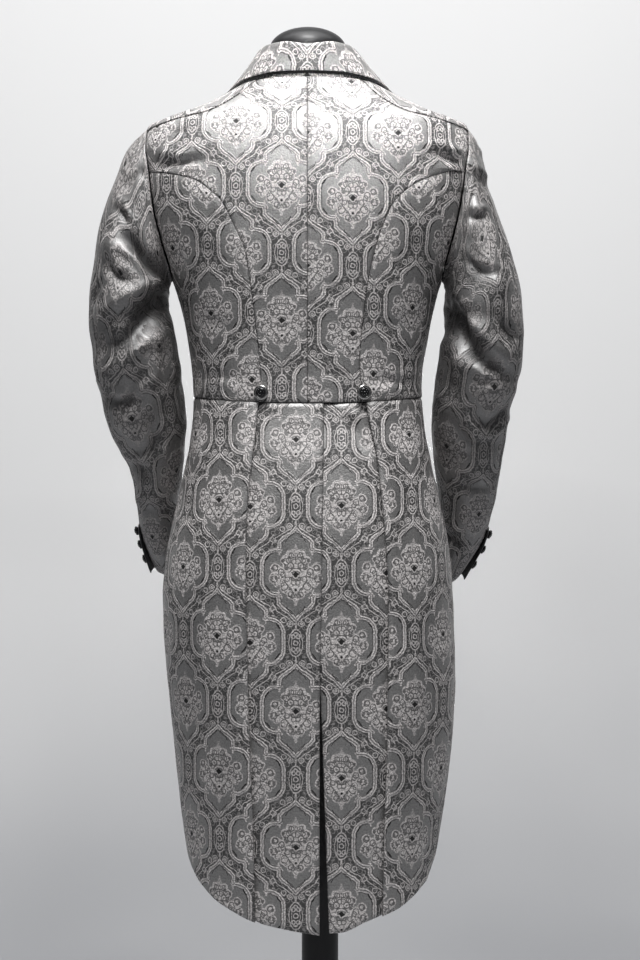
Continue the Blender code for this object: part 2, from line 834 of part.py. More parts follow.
def fold_depth(side, angle, along):
    chart = LEFT_FOLDS if side < 0 else RIGHT_FOLDS
    here = Vector((math.degrees(angle) % 360, along))
    total = 0.0
    for k in range(len(chart["width"])):
        start = Vector((chart["turn_a"][k], chart["along_a"][k]))
        end = Vector((chart["turn_b"][k], chart["along_b"][k]))
        scale = Vector((math.radians(1.0) * SLEEVE_ARC, SLEEVE_LENGTH))
        run = (end - start) * scale
        step = (here - start) * scale
        share = max(0.0, min(1.0, step.dot(run) / run.length_squared))
        away = (step - run * share).length
        fade = math.sin(math.pi * (0.12 + 0.76 * share))
        total += chart["depth"][k] * fade * math.exp(-(away / chart["width"][k])**2)
    return total


def sleeve_frame(side, angle, along):
    step = 0.01
    low, high = max(along - step, 0.0), min(along + step, 1.0)
    round_way = sleeve_point(side, angle + 0.02, along) - sleeve_point(side, angle - 0.02, along)
    down_way = sleeve_point(side, angle, high) - sleeve_point(side, angle, low)
    normal = (round_way.cross(down_way) * side).normalized()
    return sleeve_point(side, angle, along) + normal * fold_depth(side, angle, along), normal


def hindarm(along):
    return math.radians(HINDARM_TOP + (HINDARM_CUFF - HINDARM_TOP) * along)


def sleeve_angles(half, along):
    forearm = math.radians(FOREARM_SEAM)
    if half == "under":
        return hindarm(along), forearm
    return forearm, 2 * math.pi + hindarm(along)


def sleeve_cloth(name, side, half, start, columns, rows, finish, lift=0.0, wall=CLOTH):
    def bend(s, t):
        along = start + (1 - start) * t
        low, high = sleeve_angles(half, along)
        spot, normal = sleeve_frame(side, low + (high - low) * s, along)
        return spot + normal * lift, normal

    return cloth(name, bend, columns, rows, finish, wall)


def button(name, seat, facing, radius, height, finish):
    # A turned button with a flat back, a rounded rim and a domed face
    profile = ((0.0, 0.0), (0.70, 0.0), (1.0, 0.45), (0.95, 0.75), (0.60, 0.92), (0.0, 1.0))
    bm = bmesh.new()
    verts = [bm.verts.new((r * radius, 0.0, h * height)) for r, h in profile]
    edges = [bm.edges.new(pair) for pair in zip(verts, verts[1:])]
    bmesh.ops.spin(bm, geom=verts + edges, cent=(0, 0, 0), axis=(0, 0, 1), dvec=(0, 0, 0),
                   angle=2 * math.pi, steps=12, use_merge=True)
    bmesh.ops.remove_doubles(bm, verts=bm.verts[:], dist=0.00005)
    piece = finish_mesh(bm, name, finish, 35.0)
    piece.rotation_mode = "QUATERNION"
    piece.rotation_quaternion = facing.to_track_quat("Z", "Y")
    piece.location = seat
    return piece


def build_sleeve(side, word):
    columns = SLEEVE_COLUMN_COUNT
    sleeve_cloth("sleeve_under_" + word, side, "under", 0.0, columns, SLEEVE_ROWS, "brocade")
    sleeve_cloth("sleeve_top_" + word, side, "top", 0.0, columns, SLEEVE_ROWS, "brocade")
    cuff_start = 1.0 - CUFF_ROWS / SLEEVE_ROWS
    lift = BLACK_CLOTH + LAP_GAP
    sleeve_cloth("half_cuff_" + word, side, "top", cuff_start, columns, CUFF_ROWS, "black_velvet", lift,
                 BLACK_CLOTH)
    for k in range(3):
        along = 1.0 - (CUFF_BUTTON_START + CUFF_BUTTON_PITCH * k) / SLEEVE_LENGTH
        angle = hindarm(along) - 0.011 / 0.045
        spot, normal = sleeve_frame(side, angle, along)
        name = "cuff_button_" + word + "_" + str(k + 1)
        button(name, spot + normal * (lift + LAP_GAP), normal, CUFF_BUTTON_RADIUS, CUFF_BUTTON_HEIGHT,
               "button_black")


def waist_button(name, side, spot, seat):
    normal = body_normal(side, spot.x, spot.y)
    button(name, on_body(side, spot, seat), normal, WAIST_BUTTON_RADIUS, WAIST_BUTTON_HEIGHT,
           "button_silver")


def build_waist_buttons(side, word):
    seam_foot = back_seam(side)(0.0)
    waist_button("waist_button_" + word, side, Vector((seam_foot.x, seam_foot.y + 0.0125)), BUTTON_SEAT)
    height = CLOSURE - 0.022
    across = 0.0150
    waist_button("front_button_" + word, side,
                 Vector((math.pi - turn_across(side, across, height), height)), LAP_GAP)


def pleat_turn(side, height):
    across = reading(PLEATS, "height", "left" if side < 0 else "right", height)
    return turn_across(side, across, height)


def hem_height(side, across):
    word = "left" if side < 0 else "right"
    return smooth_reading(HEM[word + "_across"], HEM[word + "_height"], across)


def tail_under_pleat(side, height):
    across = reading(PLEATS, "height", "left" if side < 0 else "right", height) + PLEAT_UNDERLAP
    return turn_across(side, across, height)


def build_tail_back(side, name):
    # Centre tail: from the vent to a little way under the side skirt's pleat
    column = "over" if side < 0 else "under"
    word = "left" if side < 0 else "right"

    def vent_edge(t):
        bottom = hem_height(side, HEM[word + "_across"][0])
        height = bottom + (WAIST - bottom) * t
        across = side * reading(VENT, "height", column, height)
        return Vector((turn_across(side, across, height), height))

    def pleat_edge(t):
        across = reading(PLEATS, "height", word, 0.42) + PLEAT_UNDERLAP
        bottom = hem_height(side, across) + 0.002
        top = waist_height(tail_under_pleat(side, WAIST))
        height = bottom + (top - bottom) * t
        return Vector((tail_under_pleat(side, height), height))

    def hem(s):
        start, end = vent_edge(0.0), pleat_edge(0.0)
        turn = start.x + (end.x - start.x) * s
        across = math.sin(turn) * half_width(side, 0.40)
        rise = 0.002 * max(0.0, s - 0.7) / 0.3
        return Vector((turn, hem_height(side, across) + rise))

    place = patch(
        side,
        bottom=hem,
        top=waist_run(vent_edge(1.0).x, pleat_edge(1.0).x),
        left=lambda t: Vector((vent_edge(t).x, vent_edge(t).y)),
        right=pleat_edge)

    def lift(s, t, spot):
        if side < 0:
            return 0.0
        across = math.sin(spot.x) * half_width(side, spot.y)
        near = max(0.0, min(1.0, 1.4 - across / 0.040))
        return -VENT_DROP * near * near * (3 - 2 * near)

    return body_cloth(name, side, place, 6, 16, lift=lift)


def build_tail_side(side, name):
    # Side skirt: its back edge is a pleat over the centre tail, its front edge is cut away
    word = "left" if side < 0 else "right"
    corner_across = HEM[word + "_across"][-1]
    corner_height = HEM[word + "_height"][-1]
    corner = Vector((turn_across(side, corner_across, corner_height), corner_height))

    def pleat_edge(t):
        bottom = hem_height(side, reading(PLEATS, "height", word, 0.42))
        top = waist_height(pleat_turn(side, WAIST))
        height = bottom + (top - bottom) * t
        return Vector((pleat_turn(side, height), height))

    marks = [corner] + [Vector((math.radians(turn), height))
                        for turn, height in zip(TAIL_EDGE["turn"], TAIL_EDGE["height"])]
    front = even_spline([Vector((mark.x * 0.17, mark.y)) for mark in marks])

    def hem(s):
        start = pleat_edge(0.0).x
        turn = start + (corner.x - start) * s
        across = math.sin(turn) * half_width(side, 0.43)
        fit = corner_height if s >= 1.0 else hem_height(side, across)
        return Vector((turn, fit))

    place = patch(
        side,
        bottom=hem,
        top=waist_run(pleat_edge(1.0).x, math.radians(TAIL_EDGE["turn"][-1])),
        left=pleat_edge,
        right=lambda t: Vector((front(t).x / 0.17, front(t).y)))

    def lift(s, t, spot):
        pleat = pleat_turn(side, spot.y)
        away = max(0.0, (spot.x - pleat) * half_width(side, spot.y))
        near = max(0.0, 1.0 - away / PLEAT_EASE)
        return PLEAT_LIFT * near * (2 - near)

    return body_cloth(name, side, place, 8, 18, lift=lift)


def ring_loft(name, rings, finish):
    # A closed solid through level rings of the same count, with flat ends
    bm = bmesh.new()
    loops = [[bm.verts.new(point) for point in ring] for ring in rings]
    edges = []
    for loop in loops:
        edges.append([bm.edges.new((loop[k], loop[(k + 1) % len(loop)])) for k in range(len(loop))])
    for below, above in zip(loops, loops[1:]):
        for k in range(len(below)):
            n = (k + 1) % len(below)
            bm.faces.new((below[k], below[n], above[n], above[k]))
    bm.faces.new(loops[0])
    bm.faces.new(loops[-1])
    return finish_mesh(bm, name, finish)


def oval(half_x, half_y, middle_y, height, count):
    return [Vector((half_x * math.sin(2 * math.pi * k / count),
                    middle_y - half_y * math.cos(2 * math.pi * k / count), height))
            for k in range(count)]


def build_form():
    count = 32
    levels = (0.80, 0.84, 0.90, 0.96, 1.02, 1.08, 1.15, 1.22, 1.27, 1.32, 1.365, 1.40, 1.42, 1.435,
              1.450, 1.466, 1.478)
    rings = []
    for height in levels:
        gap = CLOTH + reading(STAND_OFF, "height", "gap", height)
        ring = []
        for k in range(count):
            turn = 2 * math.pi * k / count
            side = 1 if turn <= math.pi else -1
            from_back = turn if side > 0 else 2 * math.pi - turn
            ring.append(on_body(side, Vector((from_back, height)), -gap))
        rings.append(ring)
    middle = sum(rings[0], Vector()) / count
    lowest = [middle + (point - middle) * 0.90 - Vector((0, 0, 0.022)) for point in rings[0]]
    for point in lowest:
        point.z = FORM_BOTTOM - 0.030
    rings.insert(0, lowest)
    for row in range(len(NECK["height"])):
        rings.append(oval(NECK["half_width"][row], NECK["half_depth"][row], NECK_MIDDLE,
                          NECK["height"][row], count))
    ring_loft("form_torso", rings, "form_cover")


def build_neck_cap():
    count = 32
    half_x, half_y = NECK["half_width"][-1], NECK["half_depth"][-1]
    rings = []
    for share in (0.0, 0.22, 0.45, 0.68, 0.86, 0.96):
        size = math.sqrt(1 - share**2)
        rings.append(oval(half_x * size, half_y * size, NECK_MIDDLE, NECK_TOP + 0.0003 + CAP_HEIGHT * share, count))
    ring_loft("form_neck_cap", rings, "black_enamel")


def build_stand():
    top = FORM_BOTTOM - 0.030 - 0.0003
    length = top - BASE_HEIGHT - 0.0003
    bm = bmesh.new()
    bmesh.ops.create_cone(bm, cap_ends=True, segments=28, radius1=POLE_RADIUS, radius2=POLE_RADIUS,
                          depth=length)
    pole = finish_mesh(bm, "stand_pole", "black_enamel")
    pole.location = (POLE_X, 0.0, BASE_HEIGHT + 0.0003 + length / 2)
    bm = bmesh.new()
    bmesh.ops.create_cone(bm, cap_ends=True, segments=48, radius1=BASE_RADIUS, radius2=BASE_RADIUS,
                          depth=BASE_HEIGHT)
    rim = [edge for edge in bm.edges if edge.verts[0].co.z > 0 and edge.verts[1].co.z > 0]
    bmesh.ops.bevel(bm, geom=rim, offset=0.008, offset_type="OFFSET", segments=3, profile=0.5,
                    affect="EDGES", material=-1)
    base = finish_mesh(bm, "stand_base", "black_enamel", 40.0)
    base.location = (0.0, 0.0, BASE_HEIGHT / 2)


def make_finishes():
    for name, (colour, roughness, metallic) in FINISHES.items():
        material = bpy.data.materials.new(name)
        material.use_nodes = True
        shader = material.node_tree.nodes["Principled BSDF"]
        shader.inputs["Base Color"].default_value = (*colour, 1.0)
        shader.inputs["Roughness"].default_value = roughness
        shader.inputs["Metallic"].default_value = metallic
        material.diffuse_color = (*colour, 1.0)


def main():
    for old in list(bpy.data.objects):
        bpy.data.objects.remove(old, do_unlink=True)
    collection = bpy.data.collections.new("tailcoat")
    bpy.context.scene.collection.children.link(collection)
    make_finishes()
    for side, word in ((-1, "left"), (1, "right")):
        build_back(side, "back_" + word)
        build_side_back(side, "side_back_" + word)
        build_front(side, "front_" + word)
        build_lapel(side, "lapel_" + word)
        build_sleeve(side, word)
        build_waist_buttons(side, word)
        build_tail_back(side, "tail_back_" + word)
        build_tail_side(side, "tail_side_" + word)
    build_collar()
    build_under_collar()
    build_form()
    build_neck_cap()
    build_stand()


main()
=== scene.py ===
# Looks of a brocade tailcoat on a limbless dress form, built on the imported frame.
import json
import math
from functools import partial, partialmethod, reduce

import bmesh
import bpy
import numpy as np
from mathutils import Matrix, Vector


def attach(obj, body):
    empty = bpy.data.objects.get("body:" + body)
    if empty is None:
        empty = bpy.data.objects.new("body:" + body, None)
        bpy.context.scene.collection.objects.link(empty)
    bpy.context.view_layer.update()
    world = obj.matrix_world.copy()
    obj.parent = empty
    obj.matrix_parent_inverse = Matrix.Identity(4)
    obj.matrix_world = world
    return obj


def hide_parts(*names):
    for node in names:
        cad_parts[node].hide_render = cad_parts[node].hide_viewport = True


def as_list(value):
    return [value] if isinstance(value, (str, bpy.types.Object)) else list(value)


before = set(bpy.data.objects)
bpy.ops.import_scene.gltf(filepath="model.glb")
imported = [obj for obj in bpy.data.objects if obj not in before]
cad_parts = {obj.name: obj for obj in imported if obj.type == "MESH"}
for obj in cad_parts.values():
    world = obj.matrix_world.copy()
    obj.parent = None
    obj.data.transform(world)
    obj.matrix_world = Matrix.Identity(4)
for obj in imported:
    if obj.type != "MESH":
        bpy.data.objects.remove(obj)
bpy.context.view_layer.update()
print("frame loaded")

cloth = {
    "wall": 0.0017,         # metres
    "seamGap": 0.0002,      # a panel stops this far short of its seam
    "seamRoll": 0.0010,     # its edge dips by this much
    "seamWidth": 0.0030,
    "mesh": 0.0040,         # size of a face
    "sleeveMesh": 0.0033,
}
sides = {-1: "left", 1: "right"}
degreeColumns = {"turn", "fallTurn", "standTurn", "lean"}


def chart(columns, *rows):
    # Rows in millimetres and degrees, kept as columns in metres and degrees
    return {name: np.array([row[k] for row in rows], float) / (1 if name in degreeColumns else 1000)
            for k, name in enumerate(columns.split())}


# The coat's outside, level by level from the hem up to the neck
body = chart(
    "height left right back front",
    (360, 152, 163, 130, 90), (440, 158, 169, 131, 92), (500, 163, 174, 132, 95), (575, 171, 184, 134, 100),
    (640, 178, 191, 136, 104), (700, 184, 194, 137, 107), (760, 189, 193, 138, 110), (820, 191, 191, 138, 114),
    (880, 185, 186, 136, 118), (940, 172, 174, 131, 121), (1000, 160, 162, 122, 122), (1040, 153, 154, 113, 120),
    (1075, 150.5, 150.5, 108, 118), (1110, 152, 151, 109, 121), (1154, 158, 158, 112, 126),
    (1200, 168, 167, 117, 132), (1240, 181, 179, 120, 135), (1280, 201, 198, 122, 134), (1320, 216, 213, 122, 130),
    (1360, 222, 220, 119, 121), (1395, 223, 221, 114, 108), (1420, 217, 216, 108, 92), (1434, 208.5, 208.5, 103, 80),
    (1442, 188, 191, 100, 72), (1454, 154, 158, 96, 60), (1468, 121, 127, 91, 46), (1480, 98, 103, 87, 34),
    (1492, 80, 84, 81, 22), (1506, 64, 66, 71, 12))
formGap = chart(
    "height gap",
    (780, 36), (880, 22), (950, 14), (1000, 10), (1075, 8), (1200, 10), (1300, 7), (1365, 5.6), (1395, 4), (1419, 6),
    (1434, 8.4), (1448, 2.4), (1464, 2.2), (1478, 4.6))
# Curved back seams, from the waist to the armhole, across the back from the centre
backSeams = {
    -1: chart(
        "across height",
        (58.5, 1068.5), (60.8, 1115), (64.6, 1155), (73.3, 1223), (75.8, 1242), (80.9, 1265), (91.1, 1289),
        (109, 1324), (123.2, 1338.5), (145.3, 1354.5), (182.4, 1365)),
    1: chart(
        "across height",
        (71.5, 1068.5), (67, 1115), (68.2, 1148), (75.7, 1213), (83.3, 1252), (89.7, 1275), (96.1, 1294),
        (111.4, 1326), (134.6, 1346.5), (153, 1356.5), (187.4, 1369))}
# Neckline and roll line, as degrees from the centre back
neckChart = chart(
    "turn height",
    (0, 1488), (25, 1488), (50, 1487), (72, 1486.5), (94, 1485), (120, 1479), (142, 1464), (157, 1440), (163, 1410),
    (166.5, 1350), (169, 1270), (173, 1185), (179.2, 1125))
shoulderChart = chart(
    "across height",
    (93, 1464), (125, 1446), (160, 1438))
lapelChart = chart(
    "across height",
    (12, 1129), (48, 1185), (83, 1255), (108, 1330), (120, 1390), (123, 1410))
pleatChart = chart(
    "height left right",
    (400, 65.4, 92.5), (430, 65.6, 94.5), (540, 68, 96.5), (640, 71.8, 100), (760, 75.2, 101), (820, 76.6, 101.8),
    (900, 76.6, 97.5), (955, 73.5, 92.5), (1000, 69, 87.5), (1035, 64.5, 80), (1068, 62.1, 73.8))
ventChart = chart(
    "height over under",
    (380, 16, 28), (560, 16, 21.5), (716, 16.5, 15.5), (818, 18.5, 6), (960, 20.5, -4), (1068, 22, -6))
hemCharts = {
    -1: chart(
        "across height",
        (-16, 392.5), (30, 400.5), (65.4, 408.7), (100.1, 424.1), (122.5, 436.7), (138.8, 452.8)),
    1: chart(
        "across height",
        (28, 395), (43.7, 396), (74.2, 408.5), (114.1, 423.4), (133.8, 436.2), (152.8, 451.6))}
tailEdge = chart(
    "height turn",
    (475, 72), (500, 79.5), (560, 86), (680, 91), (820, 97), (950, 105), (1030, 112), (1078.5, 117))
sleeveColumns = "outerX outerZ innerX innerZ middleY halfDepth lean"
sleeves = {
    -1: chart(
        sleeveColumns,
        (237.6, 1405, 180.5, 1227.5, 1, 63, 0), (253.4, 1365.6, 181.5, 1222, 2, 69, 0),
        (270, 1322, 181.5, 1214.5, 3, 74, 0), (280.5, 1268, 180.8, 1203, 3, 76, 0),
        (287.5, 1215, 179, 1186, 1, 75, 0), (288, 1170, 174.5, 1160, -1, 72, 2), (281, 1118, 168.5, 1124, 3, 68, 6),
        (271.2, 1068, 164, 1085, 12, 64, 10), (259, 1028, 161.5, 1045, 26, 61, 14),
        (238, 985, 166, 1000, 44, 58, 17), (230.5, 940, 171, 952, 64, 55, 17), (224.5, 898, 169, 904, 84, 52, 14),
        (207.5, 849.5, 158, 846, 102, 49, 8)),
    1: chart(
        sleeveColumns,
        (228.4, 1405, 179, 1227.5, 1, 63, 0), (237, 1360, 180, 1222, 2, 69, 0), (252, 1316, 180, 1214.5, 3, 74, 0),
        (269, 1268, 178.5, 1202, 3, 76, 0), (280.5, 1218, 176.5, 1186, 1, 75, 0),
        (284.2, 1168, 173.5, 1160, -1, 72, 2), (281.5, 1118, 170, 1124, 3, 68, 6),
        (270, 1070, 166.5, 1085, 12, 64, 10), (263, 1028, 164, 1045, 26, 61, 14), (257, 985, 168, 1000, 44, 58, 17),
        (249.8, 940, 173, 950, 64, 56, 17), (237, 893, 171, 898, 86, 53, 14), (206.5, 842, 162, 828, 105, 50, 8))}
collarChart = chart(
    "fallTurn fallHeight standTurn foldX foldY foldZ",
    (0, 1492.5, 0, 0, -82.5, 1530.5), (28, 1491.5, 26, 29, -75, 1534.5), (56, 1487, 52, 52.5, -48, 1533),
    (86, 1480, 84, 64, -9, 1523), (110, 1470.5, 112, 68, 21, 1504), (134, 1453, 138, 70, 45, 1480),
    (149, 1433, 155.5, 70, 65.5, 1450))
neckOfForm = chart(
    "height halfWidth halfDepth",
    (1488, 68, 62), (1497, 58, 57), (1512, 52, 53), (1535, 50.5, 52))
coat = {
    "waist": 1.0685, "waistRise": 0.010, "closure": 1.1250, "neckPoint": 50.0, "lapelTop": 157.0,
    "armholeHeight": 1.334, "armholeHalfHeight": 0.102, "armholeBack": 0.057, "armholeFront": 0.060,
    "shoulderPoint": 25.0, "sideBodyPoint": 70.0, "underarmPoint": 190.0, "sideSeam": 98.0, "rollFoot": 179.2,
    "squareBack": 0.24, "squareFront": 0.18, "sleeveGap": 0.0005, "chest": 1.320, "hemMark": 0.42,
    "hindarmTop": 40.0, "hindarmCuff": 22.0, "forearmSeam": 220.0, "sleeveLength": 0.640, "sleeveRadius": 0.065,
    "pleatUnderlap": 0.024, "pleatLift": 0.0046, "pleatEase": 0.085, "ventDrop": 0.0028, "fallLap": 0.0038}


def readSmooth(table, name, at):
    # A smooth curve through a column, read by the table's first column, that never overshoots the rows
    keys, values = next(iter(table.values())), table[name]
    at = np.clip(at, keys[0], keys[-1])
    k = np.clip(np.searchsorted(keys, at, side="right") - 1, 0, len(keys) - 2)
    steps = np.diff(values) / np.diff(keys)
    before, after = steps[:-1], steps[1:]
    same = before * after > 0
    middle = np.where(same, 2 * before * after / np.where(same, before + after, 1.0), 0.0)
    slopes = np.concatenate([steps[:1], middle, steps[-1:]])
    span = keys[k + 1] - keys[k]
    t = (at - keys[k]) / span
    return ((2 * t**3 - 3 * t**2 + 1) * values[k] + (t**3 - 2 * t**2 + t) * span * slopes[k]
            + (3 * t**2 - 2 * t**3) * values[k + 1] + (t**3 - t**2) * span * slopes[k + 1])


def stacked(*parts):
    return np.stack(np.broadcast_arrays(*parts), axis=-1)


def throughMarks(mark, count, t):
    # A smooth curve through marks numbered from 0 to count - 1, at the shares t of the way
    place = np.clip(np.atleast_1d(t), 0.0, 1.0) * (count - 1)
    k = np.minimum(place.astype(int), count - 2)
    f = (place - k)[:, None]
    b, c = mark(k), mark(k + 1)
    a = np.where((k > 0)[:, None], mark(np.maximum(k - 1, 0)), 2 * b - c)
    d = np.where((k + 2 < count)[:, None], mark(np.minimum(k + 2, count - 1)), 2 * c - b)
    return 0.5 * (2 * b + (c - a) * f + (2 * a - 5 * b + 4 * c - d) * f**2 + (3 * b - a - 3 * c + d) * f**3)


def curveThrough(points):
    points = np.array(points, float)
    return lambda t: throughMarks(lambda k: points[k], len(points), t)


def runLength(spots):
    return np.concatenate([[0.0], np.cumsum(np.linalg.norm(np.diff(spots, axis=0), axis=1))])


def sharedOut(run, measure=lambda spots: spots):
    # The same run, shared out by its length once measured
    t = np.linspace(0, 1, 241)
    lengths = runLength(measure(run(t)))
    return lambda s: run(np.interp(np.atleast_1d(s), lengths / lengths[-1], t))


def unit(vectors):
    return vectors / np.maximum(np.linalg.norm(vectors, axis=-1, keepdims=True), 1e-12)


def normalOf(point, u, v, stepU, stepV, lowV=0.0, highV=1.0):
    # Square to a surface given by two numbers, the second kept between its limits
    across = point(u + stepU, v) - point(u - stepU, v)
    return unit(np.cross(across, point(u, np.minimum(v + stepV, highV)) - point(u, np.maximum(v - stepV, lowV))))


def halfWidth(side, height):
    return readSmooth(body, sides[side], height)


def bodyPoint(side, turn, height):
    # turn is 0 at the centre back, a quarter circle at the side and half a circle at the front
    atBack = np.cos(turn) > 0
    depth = np.where(atBack, readSmooth(body, "back", height), readSmooth(body, "front", height))
    square = np.where(atBack, coat["squareBack"], coat["squareFront"])
    return stacked(side * halfWidth(side, height) * np.sin(turn),
                   -depth * np.cos(turn) * (1 + square * np.sin(turn)**2), height)


def bodyNormal(side, turn, height):
    return normalOf(partial(bodyPoint, side), turn, height, 0.01, 0.002, *body["height"][[0, -1]]) * side


def onBody(side, spots, lift=0.0):
    return bodyPoint(side, *spots.T) + bodyNormal(side, *spots.T) * np.atleast_1d(lift)[:, None]


def turnAcross(side, across, height):
    return np.arcsin(np.clip(across / halfWidth(side, height), -1.0, 1.0))


def turnAtDepth(side, depth, height):
    low = np.where(depth < 0, 0.0, math.pi / 2)
    high = low + math.pi / 2
    for _ in range(30):
        middle = (low + high) / 2
        under = bodyPoint(side, middle, height)[..., 1] < depth
        low, high = np.where(under, middle, low), np.where(under, high, middle)
    return (low + high) / 2


def waistHeight(turn):
    return coat["waist"] + coat["waistRise"] * np.sin(np.clip(np.abs(turn), 0, math.pi / 2))**3


def armhole(side, degrees):
    # 0 is the top of the armhole and 90 its back
    angle = np.radians(np.atleast_1d(degrees))
    height = coat["armholeHeight"] + coat["armholeHalfHeight"] * np.cos(angle)
    reach = np.where(np.sin(angle) > 0, coat["armholeBack"], coat["armholeFront"])
    return stacked(turnAtDepth(side, -reach * np.sin(angle), height), height)


# Runs: lines on the coat, from 0 at their start to 1 at their end, as turn and height
def straight(start, end):
    start, end = np.asarray(start, float), np.asarray(end, float)
    return lambda t: start + (end - start) * np.atleast_1d(t)[:, None]


def armholeRun(side, start, end):
    return lambda t: armhole(side, start + (end - start) * np.atleast_1d(t))


def waistRun(start, end):
    def run(t):
        turn = start + (end - start) * np.atleast_1d(t)
        return stacked(turn, waistHeight(turn))

    return run


def joined(first, share, second):
    def run(t):
        t = np.atleast_1d(t)
        return np.where((t <= share)[:, None], first(np.clip(t / share, 0, 1)),
                        second(np.clip((t - share) / (1 - share), 0, 1)))

    return run


def nearest(side, points, guess):
    # The places on the coat's form that lie nearest to points near it
    turn, height = guess.T.copy()
    for _ in range(12):
        gap = points - bodyPoint(side, turn, height)
        aroundWay = (bodyPoint(side, turn + 0.005, height) - bodyPoint(side, turn - 0.005, height)) / 0.01
        upWay = (bodyPoint(side, turn, height + 0.001) - bodyPoint(side, turn, height - 0.001)) / 0.002
        a, b, c, p, q = ((one * other).sum(-1) for one, other in (
            (aroundWay, aroundWay), (aroundWay, upWay), (upWay, upWay), (gap, aroundWay), (gap, upWay)))
        scale = np.maximum(a * c - b * b, 1e-9)
        turn += np.clip((p * c - q * b) / scale, -0.15, 0.15)
        height += np.clip((q * a - p * b) / scale, -0.006, 0.006)
    return stacked(turn, height)


def blendRuns(bottom, top, left, right, s, t):
    s1, t1 = s[:, None], t[:, None]
    corners = ((bottom(0.0) * (1 - s1) + bottom(1.0) * s1) * (1 - t1)
               + (top(0.0) * (1 - s1) + top(1.0) * s1) * t1)
    return left(t) * (1 - s1) + right(t) * s1 + bottom(s) * (1 - t1) + top(s) * t1 - corners


def patch(side, bottom, top, left, right):
    # Places inside four border runs. The cloth is spread between them in space, then laid on the coat's form.
    runs = (bottom, top, left, right)
    spaced = [lambda t, run=run: bodyPoint(side, *run(t).T) for run in runs]

    def place(s, t):
        spots = nearest(side, blendRuns(*spaced, s, t), blendRuns(*runs, s, t))
        for test, run, at in ((s < 1e-4, left, t), (s > 1 - 1e-4, right, t), (t < 1e-4, bottom, s),
                              (t > 1 - 1e-4, top, s)):
            if test.any():
                spots[test] = run(at[test])
        return spots

    return place


def neckRun(side, start, end):
    whole = curveThrough(stacked(np.radians(neckChart["turn"]), neckChart["height"]))
    first, last = (list(neckChart["turn"]).index(turn) / (len(neckChart["turn"]) - 1) for turn in (start, end))
    return sharedOut(lambda t: whole(first + (last - first) * np.atleast_1d(t)), partial(onBody, side))


def seamOnBack(side, marks, end, start=None):
    # A seam given across the back, ending at known places
    marks = marks + [(float(halfWidth(side, end[1]) * math.sin(end[0])), end[1])]
    run = sharedOut(curveThrough(marks))

    def seam(t):
        t = np.atleast_1d(t)
        across, height = run(t).T
        spots = stacked(turnAcross(side, across, height), height)
        spots[t > 1 - 1e-6] = end
        if start is not None:
            spots[t < 1e-6] = start
        return spots

    return seam


def backSeam(side):
    marks = list(zip(*backSeams[side].values()))
    marks[0] = (marks[0][0], float(waistHeight(turnAcross(side, *marks[0]))))
    return seamOnBack(side, marks, armhole(side, coat["sideBodyPoint"])[0])


def shoulderSeam(side):
    turn = math.radians(coat["neckPoint"])
    neck = np.array([turn, float(readSmooth(neckChart, "height", coat["neckPoint"]))])
    marks = [(float(halfWidth(side, neck[1]) * math.sin(turn)), neck[1])] + list(zip(*shoulderChart.values()))
    return seamOnBack(side, marks, armhole(side, coat["shoulderPoint"])[0], neck)


def sideSeam(side):
    return straight((math.radians(coat["sideSeam"]), waistHeight(math.pi / 2)),
                    armhole(side, coat["underarmPoint"])[0])


def clothPlace(side, spots, fromTurn):
    # Metres of cloth across and up, counted round the level and along the coat's slope
    turn, height = spots.T
    across, steps = np.zeros(len(turn)), 12
    for share in (np.arange(steps) + 0.5) / steps:
        at = fromTurn + (turn - fromTurn) * share
        step = bodyPoint(side, at + 0.005, height) - bodyPoint(side, at - 0.005, height)
        across += np.linalg.norm(step, axis=-1) / 0.01 / steps
    levels = np.linspace(*body["height"][[0, -1]], 240)
    climb = runLength(bodyPoint(side, math.radians(20.0), levels))
    up = np.interp(height, levels, climb) - np.interp(coat["waist"], levels, climb) + coat["waist"]
    return stacked(side * across * (turn - fromTurn), up)


def frontPlace(side, spots, fromTurn):
    # The same for a front, but above the chest the cloth is counted straight up and over the shoulder
    turn, height = spots.T
    chest = coat["chest"]
    levels = np.linspace(1.400, body["height"][-1], 60)
    across = np.abs(bodyPoint(side, turn, height)[:, 0])
    top = np.maximum(np.interp(across, halfWidth(side, levels)[::-1], levels[::-1]), height)
    reach = np.sqrt((top - height) / (top - chest)) * np.where(turn < math.pi / 2, -1, 1)
    part = 1 + (reach - 1) * np.linspace(0, 1, 25)[:, None]
    level = top - (top - chest) * part**2
    at = turnAcross(side, across, level)
    path = bodyPoint(side, np.where(part < 0, at, math.pi - at), level)
    up = np.linalg.norm(np.diff(path, axis=0), axis=-1).sum(axis=0)
    foot = stacked(math.pi - turnAcross(side, across, chest), chest)
    over = clothPlace(side, foot, fromTurn) + stacked(0.0, up)
    return np.where((height > chest)[:, None], over, clothPlace(side, spots, fromTurn))


